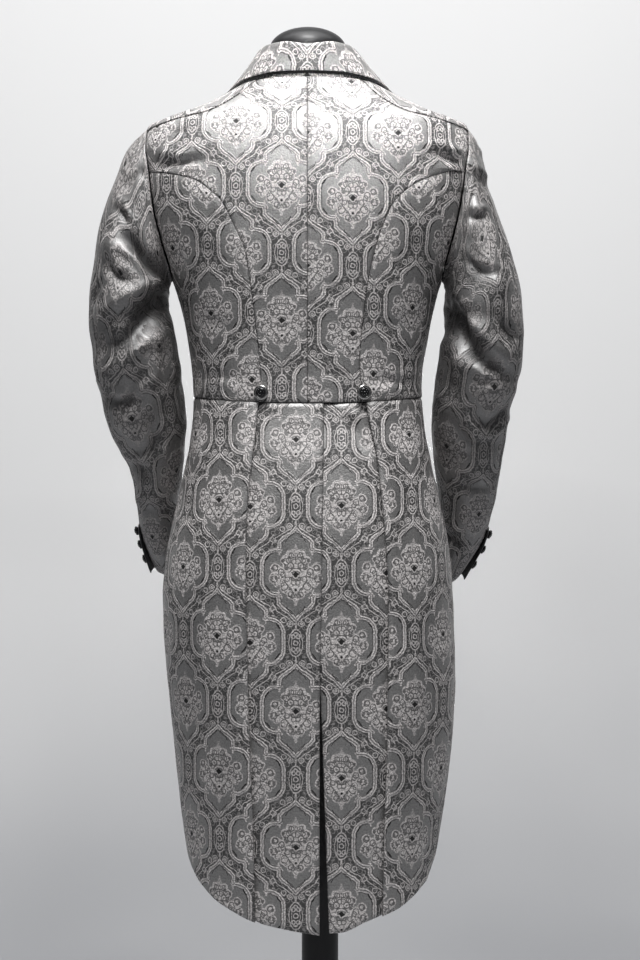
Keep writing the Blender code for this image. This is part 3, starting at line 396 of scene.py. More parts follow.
def creaseDepth(rows, x, z, wobble=0.22, atEnds=0.06):
    # Creases drawn on the cloth, each with its width, depth, lip beside the trough, and places as seen from
    # behind, counted out from the centre. A lip above zero lies on the inner side of a crease that runs up.
    total = np.zeros(len(x))
    for number, row in enumerate(rows):
        width, depth, lip, *places = np.array(row) / 1000
        places = np.reshape(places, (-1, 2))
        places = curveThrough(places)(np.linspace(0, 1, 6 * len(places)))
        lengths = runLength(places)
        run, gap = np.diff(places, axis=0)[:, None], stacked(x, z) - places[:-1, None]
        part = np.clip((gap * run).sum(-1) / (run**2).sum(-1), 0, 1)
        step = gap - run * part[..., None]
        reach = np.linalg.norm(step, axis=-1)
        closest = reach.argmin(axis=0), np.arange(len(x))
        share = (lengths[:-1, None] + part * np.diff(lengths)[:, None])[closest] / lengths[-1]
        aside = (reach * np.sign(run[..., 0] * step[..., 1] - run[..., 1] * step[..., 0]))[closest]
        across = aside / (width * (1 + wobble * np.sin(8.0 * share + number)))
        past = math.copysign(1.0, lip) * across - 1.7
        fade = np.sin(math.pi * (atEnds + (1 - 2 * atEnds) * share))
        total += fade * (depth * np.exp(-across**2) + abs(lip) * np.exp(-(past / 0.75)**2))
    return total


def ripple(u, v, size, seed):
    # Soft uneven cloth surface, from -1 to 1
    total = 0.0
    for k in range(5):
        angle = seed * 1.7 + k * 2.399
        turns = (u * math.cos(angle) + v * math.sin(angle)) / (size * (0.7 + 0.35 * k))
        total = total + np.sin(turns * 2 * math.pi + seed * 3.1 + k) / (1 + 0.5 * k)
    return total / 2.6


def edgeDepth(away, u, v, seed, size=1.0):
    # The turned seam edge and its small puckers
    roll = -cloth["seamRoll"] * size * np.exp(-(away / cloth["seamWidth"])**2)
    return roll + ripple(u, v, 0.017, seed) * 0.00035 * np.exp(-(away / 0.012)**2) * (away > 0.0005)


def seamShade(away, width=0.0016):
    # Painted shade along a panel's edge, as if its seam lay in shadow
    return np.exp(-(away / width)**2)


def creaseShade(depth):
    # Painted shade at the bottom of a deep crease, where little light reaches
    return np.clip(-depth / 0.010, 0, 1)**1.1 * 0.85


materials, cuts = {}, {}


def meshOf(name, bm):
    mesh = bpy.data.meshes.new(name)
    bm.to_mesh(mesh)
    bm.free()
    mesh.shade_smooth()
    return mesh


def addObject(name, data):
    added = bpy.data.objects.new(name, data)
    bpy.context.scene.collection.objects.link(added)
    return added


def holdBack(bm):
    # Draws the border in, so that pieces stay apart at their seams
    ways = {}
    for edge in bm.edges:
        if edge.is_boundary:
            first, second = edge.verts
            run = (second.co - first.co).normalized()
            inward = edge.link_faces[0].calc_center_median() - first.co
            inward = (inward - run * inward.dot(run)).normalized()
            ways.setdefault(first, []).append(inward)
            ways.setdefault(second, []).append(inward)
    for vert, (one, other) in ways.items():
        vert.co += (one + other) * (cloth["seamGap"] / max(0.3, 1.0 + one.dot(other)))


def clothPiece(node, columns, rows, bend, held, restsOn, finish="brocade", wall=None):
    # A flat grid, bent into place, with cloth metres as its UV map
    bm = bmesh.new()
    bmesh.ops.create_grid(bm, x_segments=columns, y_segments=rows, size=0.5)
    flat = np.array([vert.co[:2] for vert in bm.verts]) + 0.5
    points, normals, uv, seam = bend(*(flat - 0.08 * np.sin(2 * math.pi * flat)).T)
    uvLayer = bm.loops.layers.uv.new("cloth")
    for vert, point in zip(bm.verts, points):
        vert.co = point
    bm.verts.ensure_lookup_table()
    for face in bm.faces:
        for loop in face.loops:
            loop[uvLayer].uv = uv[loop.vert.index]
    holdBack(bm)
    bm.faces.ensure_lookup_table()
    middle = bm.faces[len(bm.faces) // 2]
    middle.normal_update()
    if middle.normal.dot(Vector(normals[middle.verts[0].index])) < 0:
        bmesh.ops.reverse_faces(bm, faces=bm.faces[:])
    mesh = meshOf(node + "_cloth", bm)
    # The seam attribute holds painted shade: darker cloth at edges and seams, in creases and on the sleeves
    mesh.attributes.new("seam", "FLOAT", "POINT").data.foreach_set("value", np.asarray(seam, np.float32))
    piece = addObject(mesh.name, mesh)
    mesh.materials.append(materials[finish])
    solid = piece.modifiers.new("wall", "SOLIDIFY")
    solid.thickness = wall or cloth["wall"]
    solid.offset = -1.0
    rounding = piece.modifiers.new("turned edge", "BEVEL")
    rounding.limit_method = "ANGLE"
    rounding.angle_limit = math.radians(55)
    rounding.width = 0.0005
    rounding.segments = 2
    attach(piece, "root")
    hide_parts(node)
    # Width, length and area of the flat cut, from the UV map of its four-cornered faces
    rings = np.array([loop.uv[:] for loop in mesh.uv_layers["cloth"].data]).reshape(-1, 4, 2)
    after = np.roll(rings, -1, axis=1)
    area = float(np.abs((rings[..., 0] * after[..., 1] - rings[..., 1] * after[..., 0]).sum(axis=1)).sum() / 2)
    flat = tuple(float(side) for side in np.ptp(rings, axis=(0, 1)))
    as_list(restsOn)
    cuts[piece.name] = [round(flat[0], 3), round(flat[1], 3), round(area, 4)]


def bodyPanel(name, side, runs, width, height, seed, dot=None, cutAt=(0.0, 0.0), fromTurn=0.0, measure=clothPlace,
              folds=(), rough=0.0006, lift=None, lap=None, seamSize=1.0, shades=(0.45, 1.0, 0.3), shadeWidth=0.0016,
              held="stretched", restsOn=("form_torso",)):
    # A panel between four runs: bottom, top, left and right. dot is where, across and up, a motif's middle lies,
    # and cutAt moves the panel on its cloth instead. The shades are painted shade at the sides, the bottom and the
    # top.
    place, shift = patch(side, *runs), np.array(cutAt)
    if dot is not None:
        shift = measure(side, stacked([float(turnAcross(side, *dot))], dot[1]), fromTurn)

    def bend(s, t):
        spots = place(s, t) + stacked(0.0, lap(s, t) if lap else 0.0)
        uv = measure(side, spots, fromTurn)
        x, _, z = bodyPoint(side, *spots.T).T
        ends = np.minimum(s, 1 - s) * width, t * height, (1 - t) * height
        away = np.minimum.reduce(ends)
        calm = 1 - np.exp(-(away / 0.010)**2)
        # A top edge with no painted shade is pressed flat
        rolled = away if shades[2] else np.minimum(*ends[:2])
        # Painted shade along the panel's edges and in its creases, kept as the seam attribute
        seam = np.maximum.reduce([seamShade(end, shadeWidth) * shade for end, shade in zip(ends, shades)])
        creases = creaseDepth(folds, side * x, z) * calm
        depth = edgeDepth(rolled, *uv.T, seed + 4, seamSize) + creases + ripple(*uv.T, 0.075, seed) * rough * calm
        if lift:
            depth += lift(s, t, spots)
        seam = np.maximum(seam, creaseShade(creases))
        return onBody(side, spots, depth), bodyNormal(side, *spots.T), uv - shift, seam

    clothPiece(name, max(8, round(width / cloth["mesh"])), max(8, round(height / cloth["mesh"])), bend, held,
               list(restsOn))


def wire(tree, slot, value):
    # Another node's output is linked, and a plain value is set
    value = getattr(value, "socket", value)
    if isinstance(value, bpy.types.NodeSocket):
        tree.links.new(value, slot)
    elif slot.type == "RGBA":
        slot.default_value = (*value, 1.0)
    elif slot.type == "VECTOR":
        slot.default_value = (*value, 0.0)[:3]
    else:
        slot.default_value = value


def setSockets(tree, node, values):
    for name, value in values.items():
        wire(tree, node.inputs[name], value)
    return node


def addNode(tree, kind, **values):
    return setSockets(tree, tree.nodes.new("ShaderNode" + kind), values)


def addGroup(tree, group, **values):
    node = addNode(tree, "Group")
    node.node_tree = group
    return setSockets(tree, node, values)


class Field:
    # A value in a node tree, written as plain arithmetic
    def __init__(self, tree, socket):
        self.tree, self.socket = tree, socket

    def join(self, operation, *others, clamp=False):
        node = addNode(self.tree, "Math")
        node.operation, node.use_clamp = operation, clamp
        for slot, value in zip(node.inputs, (self, *others)):
            wire(self.tree, slot, value)
        return Field(self.tree, node.outputs[0])

    def __rsub__(self, other):
        return self.join("MULTIPLY_ADD", -1.0, other)

    __add__ = __radd__ = partialmethod(join, "ADD")
    __sub__ = partialmethod(join, "SUBTRACT")
    __mul__ = __rmul__ = partialmethod(join, "MULTIPLY")
    __abs__ = partialmethod(join, "ABSOLUTE")
    clamped = partialmethod(join, "ADD", 0.0, clamp=True)

    def under(self, limit, soft=0.35):
        # 1 where the value is below the limit, with a soft step
        node = setSockets(self.tree, addNode(self.tree, "MapRange"), {
            "Value": self, "From Min": limit - soft, "From Max": limit + soft, "To Min": 1.0, "To Max": 0.0})
        node.interpolation_type = "SMOOTHSTEP"
        return Field(self.tree, node.outputs[0])


def lesser(*values):
    return reduce(lambda first, value: first.join("MINIMUM", value), values)


def greater(*values):
    return reduce(lambda first, value: first.join("MAXIMUM", value), values)


class Plane(Field):
    # A point of the cloth in a node tree, in millimetres
    def vector(self, operation, *others):
        node = addNode(self.tree, "VectorMath")
        node.operation = operation
        for slot, value in zip([slot for slot in node.inputs if slot.type == "VECTOR"], (self, *others)):
            wire(self.tree, slot, value)
        if operation in ("DISTANCE", "LENGTH", "DOT_PRODUCT"):
            return Field(self.tree, node.outputs["Value"])
        return Plane(self.tree, node.outputs[0])

    def part(self, number):
        return Field(self.tree, addNode(self.tree, "SeparateXYZ", Vector=self).outputs[number])

    # Distances to drawn shapes, below zero inside a disc or a stroke with some width
    def discs(self, *rows):
        return lesser(*(self.vector("DISTANCE", (x, y)) - radius for x, y, radius in rows))

    def rings(self, *rows):
        return lesser(*(abs(self.discs(row)) for row in rows))

    def stroke(self, startX, startY, endX, endY):
        run = (endX - startX, endY - startY)
        size = run[0]**2 + run[1]**2
        step = self.vector("SUBTRACT", (startX, startY))
        share = step.vector("DOT_PRODUCT", (run[0] / size, run[1] / size)).clamped()
        return step.vector("DISTANCE", Plane(self.tree, share.socket).vector("MULTIPLY", run))

    def strokes(self, *rows):
        return lesser(*(self.stroke(*ends) - half for *ends, half in rows))

    def line(self, *places):
        return lesser(*(self.stroke(*places[k:k + 4]) for k in range(0, len(places) - 2, 2)))

    def oval(self, radiusX, radiusY):
        # Near enough for a thin line
        near = self.vector("MULTIPLY", (1 / radiusX, 1 / radiusY))
        return (near.vector("LENGTH") - 1.0) * ((radiusX + radiusY) / 2)


def wrapped(value, size):
    return value.join("WRAP", size / 2, -size / 2)


def choose(test, yes, no):
    return no + (yes - no) * test


damask = {
    "across": 117.5, "along": 173.0,     # repeat in millimetres of cloth, half dropped
    "cord": 2.5, "cordLine": 0.45, "sway": 2.8,
    "upper": (0, 58.5, 6.5, 51.5, 16, 46, 21, 41, 21, 33.5),
    "lower": (22, -29, 22, -36.5, 17, -42.5, 8.5, -48, 0, -57.5),
    "bulgeMiddle": (18.3, 2.0), "bulgeInner": (6.0, 9.8), "bulgeRadius": 19.0,
    "medallion": ((0, 0, 16), (0, 12, 16.5), (13.5, 18, 6), (7.5, 25, 5.5), (9, -14, 11.5), (16, -17.5, 4.5),
                  (5, -25, 6.5), (0, -31, 4.2), (26, 7.5, 6.8), (27, -5, 7.6), (24.5, -12, 4), (19.5, 2, 8)),
}


def latticePlace(u, v, shift):
    # The nearest motif of the half-drop repeat: the place in it, mirrored across
    width, length = damask["across"], damask["along"]
    xa, ya = wrapped(u + shift, width), wrapped(v, length)
    xb, yb = wrapped(u + (shift + width / 2), width), wrapped(v + length / 2, length)
    inA = (abs(xa) * (1 / width) + abs(ya) * (1 / length)).join("LESS_THAN", 0.5)
    place = addNode(u.tree, "CombineXYZ", X=abs(choose(inA, xa, xb)), Y=choose(inA, ya, yb))
    return Plane(u.tree, place.outputs[0])


def curls(place, size, seed, gap):
    # Scrollwork: rings about scattered points, symmetrical because the place is mirrored
    moved = place.vector("MULTIPLY_ADD", (1 / size, 1 / size), (seed, seed * 0.7, seed * 1.3))
    node = addNode(place.tree, "TexVoronoi", Vector=moved, Scale=1.0, Randomness=0.75)
    return abs(wrapped(Field(place.tree, node.outputs["Distance"]) * size, gap))


def noise(tree, place, scale, detail):
    return Field(tree, addNode(tree, "TexNoise", Vector=place, Scale=scale, Detail=detail).outputs["Fac"])


def newGroup(name, inputs, outputs):
    tree = bpy.data.node_groups.new(name, "ShaderNodeTree")
    for way, sockets in (("INPUT", inputs), ("OUTPUT", outputs)):
        for words, kind in sockets.items():
            tree.interface.new_socket(words, in_out=way, socket_type="NodeSocket" + kind)
    return tree, tree.nodes.new("NodeGroupInput").outputs, tree.nodes.new("NodeGroupOutput")


def cellBorder(here):
    # Distances to the pointed cell's border and to its bulging sides
    ends = lesser(here.line(*damask["upper"]), here.line(*damask["lower"]))
    corner = here.vector("SUBTRACT", damask["bulgeMiddle"]).vector("ABSOLUTE")
    corner = corner.vector("SUBTRACT", damask["bulgeInner"]).vector("MAXIMUM", (0, 0))
    bulge = corner.vector("LENGTH") - damask["bulgeRadius"]
    outward = here.part(0).join("LESS_THAN", 22.0) * 60.0
    return lesser(ends, abs(bulge) + outward), bulge


def millimetres(tree, place):
    return [Plane(tree, place).part(k) * 1000.0 for k in (0, 1)]


def buildRelief():
    tree, source, target = newGroup("damask relief", {"Cloth": "Vector"}, {"Height": "Float"})
    here = latticePlace(*millimetres(tree, source["Cloth"]), 0.0)
    border, bulge = cellBorder(here)
    cords = border.under(damask["cord"], 0.8) * (1.0 - border.under(0.3, 0.5) * 0.6)
    figure = here.discs(*damask["medallion"]).under(0.0, 0.8) * 0.6
    setSockets(tree, target, {"Height": greater(cords, figure)})
    return tree


def buildDamask():
    tree, source, target = newGroup("damask", {"Cloth": "Vector"}, {"Light": "Float", "Dark": "Float"})
    sway = addNode(tree, "TexNoise", Vector=source["Cloth"], Scale=210.0, Detail=2.0)
    swayed = Plane(tree, sway.outputs["Color"])
    u, v = (along + swayed.part(k) * damask["sway"] for k, along in enumerate(millimetres(tree, source["Cloth"])))
    here = latticePlace(u, v, 0.0)
    there = latticePlace(u, v, damask["across"] / 2)
    x, y = here.part(0), here.part(1)
    border, bulge = cellBorder(here)
    cordLine = border.under(damask["cordLine"], 0.3)
    cords = border.under(damask["cord"])
    outline = border.under(3.9) * (1.0 - border.under(2.7))

    # Inside of the cell
    inUpper = greater(x - 21.0, x + (y - 41.0) * 1.2 - 21.0).under(0.0) * y.under(58.0)
    inLower = greater(x - 22.0, x - (y + 36.5) * 1.05 - 22.0).under(0.0)
    outside = 1.0 - greater(bulge.under(0.0), inUpper * (1.0 - y.under(0.0)), inLower * y.under(0.0))

    # Medallion
    figure = lesser(here.discs(*damask["medallion"]), here.strokes((0, -24, 0, -38, 1.5)))
    finial = lesser(here.strokes((0, 28, 0, 38, 1.2)), here.discs((0, 32, 3.2), (3.6, 30, 1.7))).under(0.0, 0.4)
    swirl = curls(here, 7.0, 3.0, 3.2).under(0.55, 0.35)
    drawn = lesser(here.rings((26.5, 8, 3.5), (27.5, -5.5, 4.0), (14.5, -15, 4.6), (12.5, 16.5, 4.2), (5.5, 24, 3.2),
                              (6.5, -25, 3.0), (0, 0, 8.0), (18.5, 3.5, 3.6), (6.5, 11.5, 3.8)),
                   here.stroke(18, -3, 2.2, -24), here.stroke(12, 6, 20, 12), here.stroke(0, 14, 0, 22))
    innerLines = greater(swirl * 0.8, drawn.under(0.55, 0.35)) * (figure + 1.3).under(0.0, 0.4)
    eye = lesser(abs(x) + abs(y) - 4.1, here.discs((0, 0, 3.1))).under(0.0, 0.5)
    eyes = greater(eye, here.discs((0, -19.5, 1.6)).under(0.0, 0.4))
    petals = here.discs((7.2, 0, 2.5)).under(0.0, 0.5)

    # Hooks and dark strokes on the cell's border
    fleurs = here.discs((18.6, 31.5, 1.9), (23, 29, 1.8), (20.5, 28.5, 1.8), (20.8, 25.5, 1.2), (20, -26.5, 2.0),
                        (24.5, -25.5, 1.8), (22, -23, 1.8), (22, -20, 1.1), (17.8, -29, 1.6)).under(0.0, 0.4)
    strokes = here.strokes((34.5, 24.3, 38.6, 18, 1.0), (39.2, 16.5, 39.6, 10, 0.5), (33, -20.2, 38, -13.5, 0.9),
                           (2.5, 52.5, 9, 47, 0.6), (9, 47, 13, 41, 0.5), (4, -50, 10, -44.2, 0.6),
                           (10, -44.2, 11.5, -40.5, 0.6)).under(0.0, 0.4)

    # Between the cells: cartouche and scrolls
    rim = there.oval(8.6, 17.2)
    cartouche = lesser(abs(rim), abs(there.oval(5.4, 13.2)),
                       there.rings((0, 0, 2.8), (3.2, 8.2, 2.4), (3.2, -8.2, 2.4)))
    scrolls = lesser(there.rings((7, 24.5, 3.6), (8, -25.5, 3.6), (7, 24.5, 1.2), (8, -25.5, 1.2), (15.5, 29, 3),
                                 (17, -29, 3)),
                     there.line(0, 18, 1, 24, 0, 29), there.line(0, -18, 1, -23, 0, -29),
                     here.line(7, 58, 15, 52.5, 25, 47, 30, 38), here.line(7, -57, 15, -52, 24, -46, 30, -36),
                     here.rings((28, 43, 2.6), (28.5, -42, 2.6)))
    weeds = curls(there, 6.5, 9.0, 3.0).under(0.5, 0.35) * 0.55 * (1.0 - rim.under(0.0))
    between = greater(cartouche.under(0.75, 0.3), scrolls.under(0.7, 0.3), weeds) * outside

    light = greater(cords * (1.0 - cordLine), fleurs, figure.under(0.0, 0.5) * (1.0 - innerLines * 0.85),
                    finial * 0.6, between * 0.85)
    dark = greater(strokes, eyes, innerLines * 0.72, outline * 0.7, cordLine * 0.5,
                   outside * (1.0 - between) * (1.0 - cords) * 0.82)
    setSockets(tree, target, {"Light": greater(light * (1.0 - eyes), petals * (1.0 - eye)),
                              "Dark": dark * (1.0 - petals)})
    return tree


def buildFibre():
    # Uneven tone and small bumps of a plain cloth or an old coat of paint
    tree, source, target = newGroup("fibre", {"Place": "Vector", "Scale": "Float", "Stretch": "Vector"},
                                    {"Tone": "Float", "Height": "Float"})
    stretched = Plane(tree, source["Place"]).vector("MULTIPLY", Plane(tree, source["Stretch"]))
    scale = Field(tree, source["Scale"])
    fine, broad = noise(tree, stretched, scale, 3.0), noise(tree, stretched, scale * 0.06, 2.0)
    setSockets(tree, target, {"Tone": fine * 0.55 + broad * 0.45, "Height": fine})
    return tree


def mixColours(tree, factor, first, second):
    node = addNode(tree, "Mix")
    node.data_type = "RGBA"
    for slot, value in zip([slot for slot in node.inputs if slot.enabled], (factor, first, second)):
        wire(tree, slot, value)
    return [slot for slot in node.outputs if slot.enabled][0]


def newMaterial(name, colour, roughness, metallic=0.0):
    material = bpy.data.materials.new(name)
    material.use_nodes = True
    tree = material.node_tree
    shader = setSockets(tree, tree.nodes["Principled BSDF"],
                        {"Base Color": colour, "Roughness": roughness, "Metallic": metallic})
    materials[name] = material
    return tree, shader, addNode(tree, "TexCoord").outputs["Object"]


def setBump(tree, shader, height, distance, strength):
    bump = addNode(tree, "Bump", Height=height, Distance=distance, Strength=strength)
    wire(tree, shader.inputs["Normal"], bump.outputs["Normal"])


fibre = buildFibre()
plainLooks = {
    # darker and lighter colour, roughness, sheen, scale, stretch, bump, coat, metallic
    "velvet": ((0.004, 0.004, 0.005), (0.016, 0.015, 0.017), 0.92, 0.30, 1400.0, (1, 1, 1), 0.00030, 0.0, 0.0),
    "felt": ((0.006, 0.006, 0.006), (0.020, 0.019, 0.020), 0.96, 0.12, 900.0, (1, 1, 1), 0.00030, 0.0, 0.0),
    "cover": ((0.008, 0.008, 0.009), (0.018, 0.018, 0.020), 0.78, 0.10, 1100.0, (1, 1, 0.3), 0.00020, 0.0, 0.0),
    "enamel": ((0.004, 0.004, 0.005), (0.008, 0.008, 0.009), 0.50, 0.0, 160.0, (1, 1, 1), 0.00003, 0.10, 0.0),
    "silver": ((0.42, 0.41, 0.40), (0.66, 0.65, 0.64), 0.26, 0.0, 420.0, (1, 1, 1), 0.00004, 0.0, 1.0),
    "jet": ((0.006, 0.006, 0.007), (0.014, 0.014, 0.015), 0.24, 0.0, 500.0, (1, 1, 1), 0.00006, 0.5, 0.0),
}


def plainMaterial(name):
    dark, light, roughness, sheen, scale, stretch, bumpSize, coatShare, metallic = plainLooks[name]
    tree, shader, place = newMaterial(name, dark, roughness, metallic)
    group = addGroup(tree, fibre, Place=place, Scale=scale, Stretch=stretch)
    tone = Field(tree, group.outputs["Tone"])
    setSockets(tree, shader, {
        "Base Color": mixColours(tree, tone, dark, light), "Roughness": tone * 0.16 + (roughness - 0.08),
        "Sheen Weight": sheen, "Sheen Roughness": 0.4, "Coat Roughness": 0.08,
        "Coat Weight": (1.0 - tone * 0.4) * coatShare})
    setBump(tree, shader, group.outputs["Height"], bumpSize, 0.6)


brocadeLook = {
    "ground": (0.320, 0.310, 0.303), "thread": (0.94, 0.915, 0.90), "warm": (0.94, 0.87, 0.855),
    "black": (0.010, 0.009, 0.009), "groundDark": (0.170, 0.163, 0.159), "threadDark": (0.30, 0.285, 0.28),
    "groundRough": 0.46, "threadRough": 0.62, "satin": 0.95, "satinRough": 0.58, "satinIor": 2.6,
    "speck": 0.72, "metal": 0.65, "paintedShadeDark": 0.85,
}


def brocadeMaterial():
    look = brocadeLook
    tree, shader, place = newMaterial("brocade", look["ground"], 0.5)
    uvMap = addNode(tree, "UVMap")
    uvMap.uv_map = "cloth"
    onCloth = uvMap.outputs[0]
    figure = addGroup(tree, buildDamask(), Cloth=onCloth)
    light, dark = (Field(tree, figure.outputs[name]) for name in ("Light", "Dark"))
    speck = (noise(tree, onCloth, 430.0, 3.0) - 0.5).join("MULTIPLY_ADD", 3.6, 0.42).clamped()
    thread = mixColours(tree, noise(tree, place, 55.0, 3.0), look["thread"], look["warm"])
    thread = mixColours(tree, speck * look["speck"], thread, look["threadDark"])
    ground = mixColours(tree, speck, look["ground"], look["groundDark"])
    colour = mixColours(tree, dark, mixColours(tree, light, ground, thread), look["black"])
    # Painted shade: the seam attribute darkens the colour towards black
    seam = addNode(tree, "Attribute")
    seam.attribute_name = "seam"
    colour = mixColours(tree, Field(tree, seam.outputs["Fac"]) * look["paintedShadeDark"], colour, look["black"])
    satin = (1.0 - light) * (1.0 - dark * dark * 0.95) * look["satin"]
    setSockets(tree, shader, {
        "Base Color": colour, "Metallic": satin * look["metal"],
        "Roughness": light * (look["threadRough"] - look["groundRough"]) + look["groundRough"] + dark * 0.25,
        "Coat Weight": satin, "Coat Roughness": look["satinRough"], "Coat IOR": look["satinIor"]})
    raised = Field(tree, addGroup(tree, buildRelief(), Cloth=onCloth).outputs["Height"])
    setBump(tree, shader, raised + noise(tree, place, 900.0, 2.0) * 0.35 + (1.0 - speck) * 0.5, 0.00070, 0.8)


brocadeMaterial()
for name in plainLooks:
    plainMaterial(name)

# Where the middle of one motif lies on each panel, out from the centre and up
motifDots = {
    "back": {-1: (0.0313, 1.3458), 1: (0.0592, 1.3294)},
    "sideBack": {-1: (0.0696, 1.0994), 1: (0.0859, 1.1070)},
    "tailBack": {-1: (0.0132, 0.8520), 1: (0.0447, 0.7670)},
    "tailSide": {-1: (0.1120, 0.7737), 1: (0.1360, 0.8586)},
    "sleeve": {-1: (0.2070, 0.8956), 1: (0.2280, 0.9270)},
}
# Creases in millimetres: width, depth, lip, then places out from the centre and up
backCreases = {
    -1: (
        (6.5, -4.5, -2.5, 200, 1376, 165, 1377, 128, 1381), (7, 2.2, 0, 198, 1392, 156, 1395),
        (5, -1.6, 0, 175, 1416, 150, 1420), (11, -1.4, 0, 150, 1350, 105, 1395), (10, -1.4, 0, 12, 1215, 46, 1190),
        (7, -1.4, 0, 10, 1115, 48, 1106)),
    1: (
        (7, -5.8, 2.8, 156, 1390, 181, 1386, 214, 1379), (6, 2.6, 0, 181, 1399, 212, 1393),
        (7, 2.2, 0, 169, 1367, 202, 1368), (11, -1.4, 0, 150, 1345, 112, 1385), (10, -1.4, 0, 12, 1225, 50, 1196),
        (7, -1.4, 0, 12, 1112, 52, 1102))}
sideBackCreases = {
    -1: (
        (7, -2, -0.8, 75, 1098, 112, 1104, 146, 1102), (10, -1.8, 0, 90, 1160, 140, 1178),
        (11, -2, 0, 118, 1250, 150, 1292)),
    1: (
        (7, -2, 0.8, 82, 1100, 118, 1096, 146, 1094), (8, 2.2, 0, 84, 1083, 123, 1085),
        (10, -1.8, 0, 92, 1158, 142, 1180), (11, -2, 0, 120, 1246, 152, 1288))}
frontCreases = (
    (8, -2.2, 0, 148, 1106, 105, 1098, 60, 1100), (11, -2.4, 0, 150, 1172, 104, 1140, 50, 1128),
    (12, -2.4, 0, 190, 1300, 165, 1250, 150, 1205), (10, -2, 0, 205, 1392, 178, 1350, 168, 1300),
    (10, -1.4, 0, 160, 1425, 132, 1385))
tailBackCreases = {
    -1: (
        (16, -2, 0, 36, 1045, 40, 930, 46, 800), (18, -2, 0, 40, 700, 34, 560, 30, 430)),
    1: (
        (6.5, -3.4, 2.4, 45, 1054, 62, 1033, 74, 1005), (6, 2.4, 0, 54, 1058, 67, 1051),
        (16, -2, 0, 48, 960, 54, 860, 52, 740), (18, -2, 0, 60, 640, 66, 540, 68, 430))}
tailSideCreases = {
    -1: (
        (15, -2.6, 0, 100, 1040, 112, 940, 118, 820), (10, -2, 0, 150, 1030, 158, 960),
        (18, -3, 0, 150, 860, 150, 720, 142, 580), (16, -2.6, 0, 104, 700, 106, 560, 108, 440)),
    1: (
        (15, -2.6, 0, 110, 1040, 120, 940, 126, 820), (10, -2, 0, 150, 1030, 158, 960),
        (18, -3, 0, 158, 840, 158, 700, 150, 560), (16, -2.6, 0, 122, 680, 124, 560, 126, 450))}


def buildBack(side, word):
    seam, neckShare = backSeam(side), 1 / 3
    runs = (waistRun(0.0, seam(0.0)[0, 0]),
            joined(neckRun(side, 0.0, coat["neckPoint"]), neckShare, shoulderSeam(side)),
            straight((0.0, coat["waist"]), (0.0, neckChart["height"][0])),
            joined(seam, 10 / 13, armholeRun(side, coat["sideBodyPoint"], coat["shoulderPoint"])))

    def underFall(s, t):
        # The top runs on under the collar's fall
        return coat["fallLap"] * np.clip((t - 0.9) / 0.1, 0, 1) * np.clip((neckShare - s) / 0.03, 0, 1)

    bodyPanel("back_" + word, side, runs, 0.20, 0.43, 1.0 + side, motifDots["back"][side],
              folds=backCreases[side], lap=underFall, shades=(0.45, 1.0, 0.0))


def buildSideBack(side, word):
    seam = backSeam(side)
    runs = (waistRun(seam(0.0)[0, 0], math.radians(coat["sideSeam"])),
            armholeRun(side, coat["sideBodyPoint"], coat["underarmPoint"]), seam, sideSeam(side))
    bodyPanel("side_back_" + word, side, runs, 0.16, 0.30, 3.0 + side, motifDots["sideBack"][side],
              folds=sideBackCreases[side])


def buildFront(side, word):
    roll, shoulder = neckRun(side, coat["rollFoot"], coat["neckPoint"]), shoulderSeam(side)
    foot = (math.radians(coat["rollFoot"]), waistHeight(math.pi / 2))
    runs = (waistRun(math.radians(coat["sideSeam"]), foot[0]), lambda t: shoulder(1.0 - np.atleast_1d(t)),
            joined(sideSeam(side), 5 / 18, armholeRun(side, coat["underarmPoint"], coat["shoulderPoint"] + 360)),
            joined(straight(foot, roll(0.0)[0]), 1 / 9, roll))
    bodyPanel("front_" + word, side, runs, 0.20, 0.52, 5.0 + side, fromTurn=math.pi, measure=frontPlace,
              folds=frontCreases, shades=(0.30, 1.0, 0.0))


def buildLapel(side, word):
    roll = neckRun(side, coat["rollFoot"], coat["lapelTop"])
    marks = stacked(math.pi - turnAcross(side, *lapelChart.values()), lapelChart["height"])
    outer = sharedOut(curveThrough(marks), partial(onBody, side))
    runs = [straight(outer(t)[0], roll(t)[0]) for t in (0.0, 1.0)] + [outer, roll]
    # Painted shade darkens the lapel's outer edge and its roll line
    bodyPanel("lapel_" + word, side, runs, 0.07, 0.33, 7.0 + side, cutAt=(0.031, 0.052), fromTurn=math.pi,
              measure=frontPlace, rough=0.0002, shades=(0.9, 0.9, 0.0), shadeWidth=0.0030, held="folded",
              lift=lambda s, t, spots: 0.0029 + 0.0012 * s**2 + 0.0022 * (1 - s)**2, restsOn=["front_" + word])


for side, word in sides.items():
    buildBack(side, word)
    buildSideBack(side, word)
    buildFront(side, word)
    buildLapel(side, word)
print("body panels")


def pleatAcross(side, height):
    return readSmooth(pleatChart, sides[side], height)


def hemHeight(side, across):
    return readSmooth(hemCharts[side], "height", across)


def pleatRun(side, further=0.0, rise=0.0):
    # The pleat's edge from the hem to the waist, or a line further out
    bottom = hemHeight(side, pleatAcross(side, coat["hemMark"]) + further) + rise
    top = waistHeight(turnAcross(side, pleatAcross(side, coat["waist"]) + further, coat["waist"]))

    def run(t):
        height = bottom + (top - bottom) * np.atleast_1d(t)
        return stacked(turnAcross(side, pleatAcross(side, height) + further, height), height)

    return run


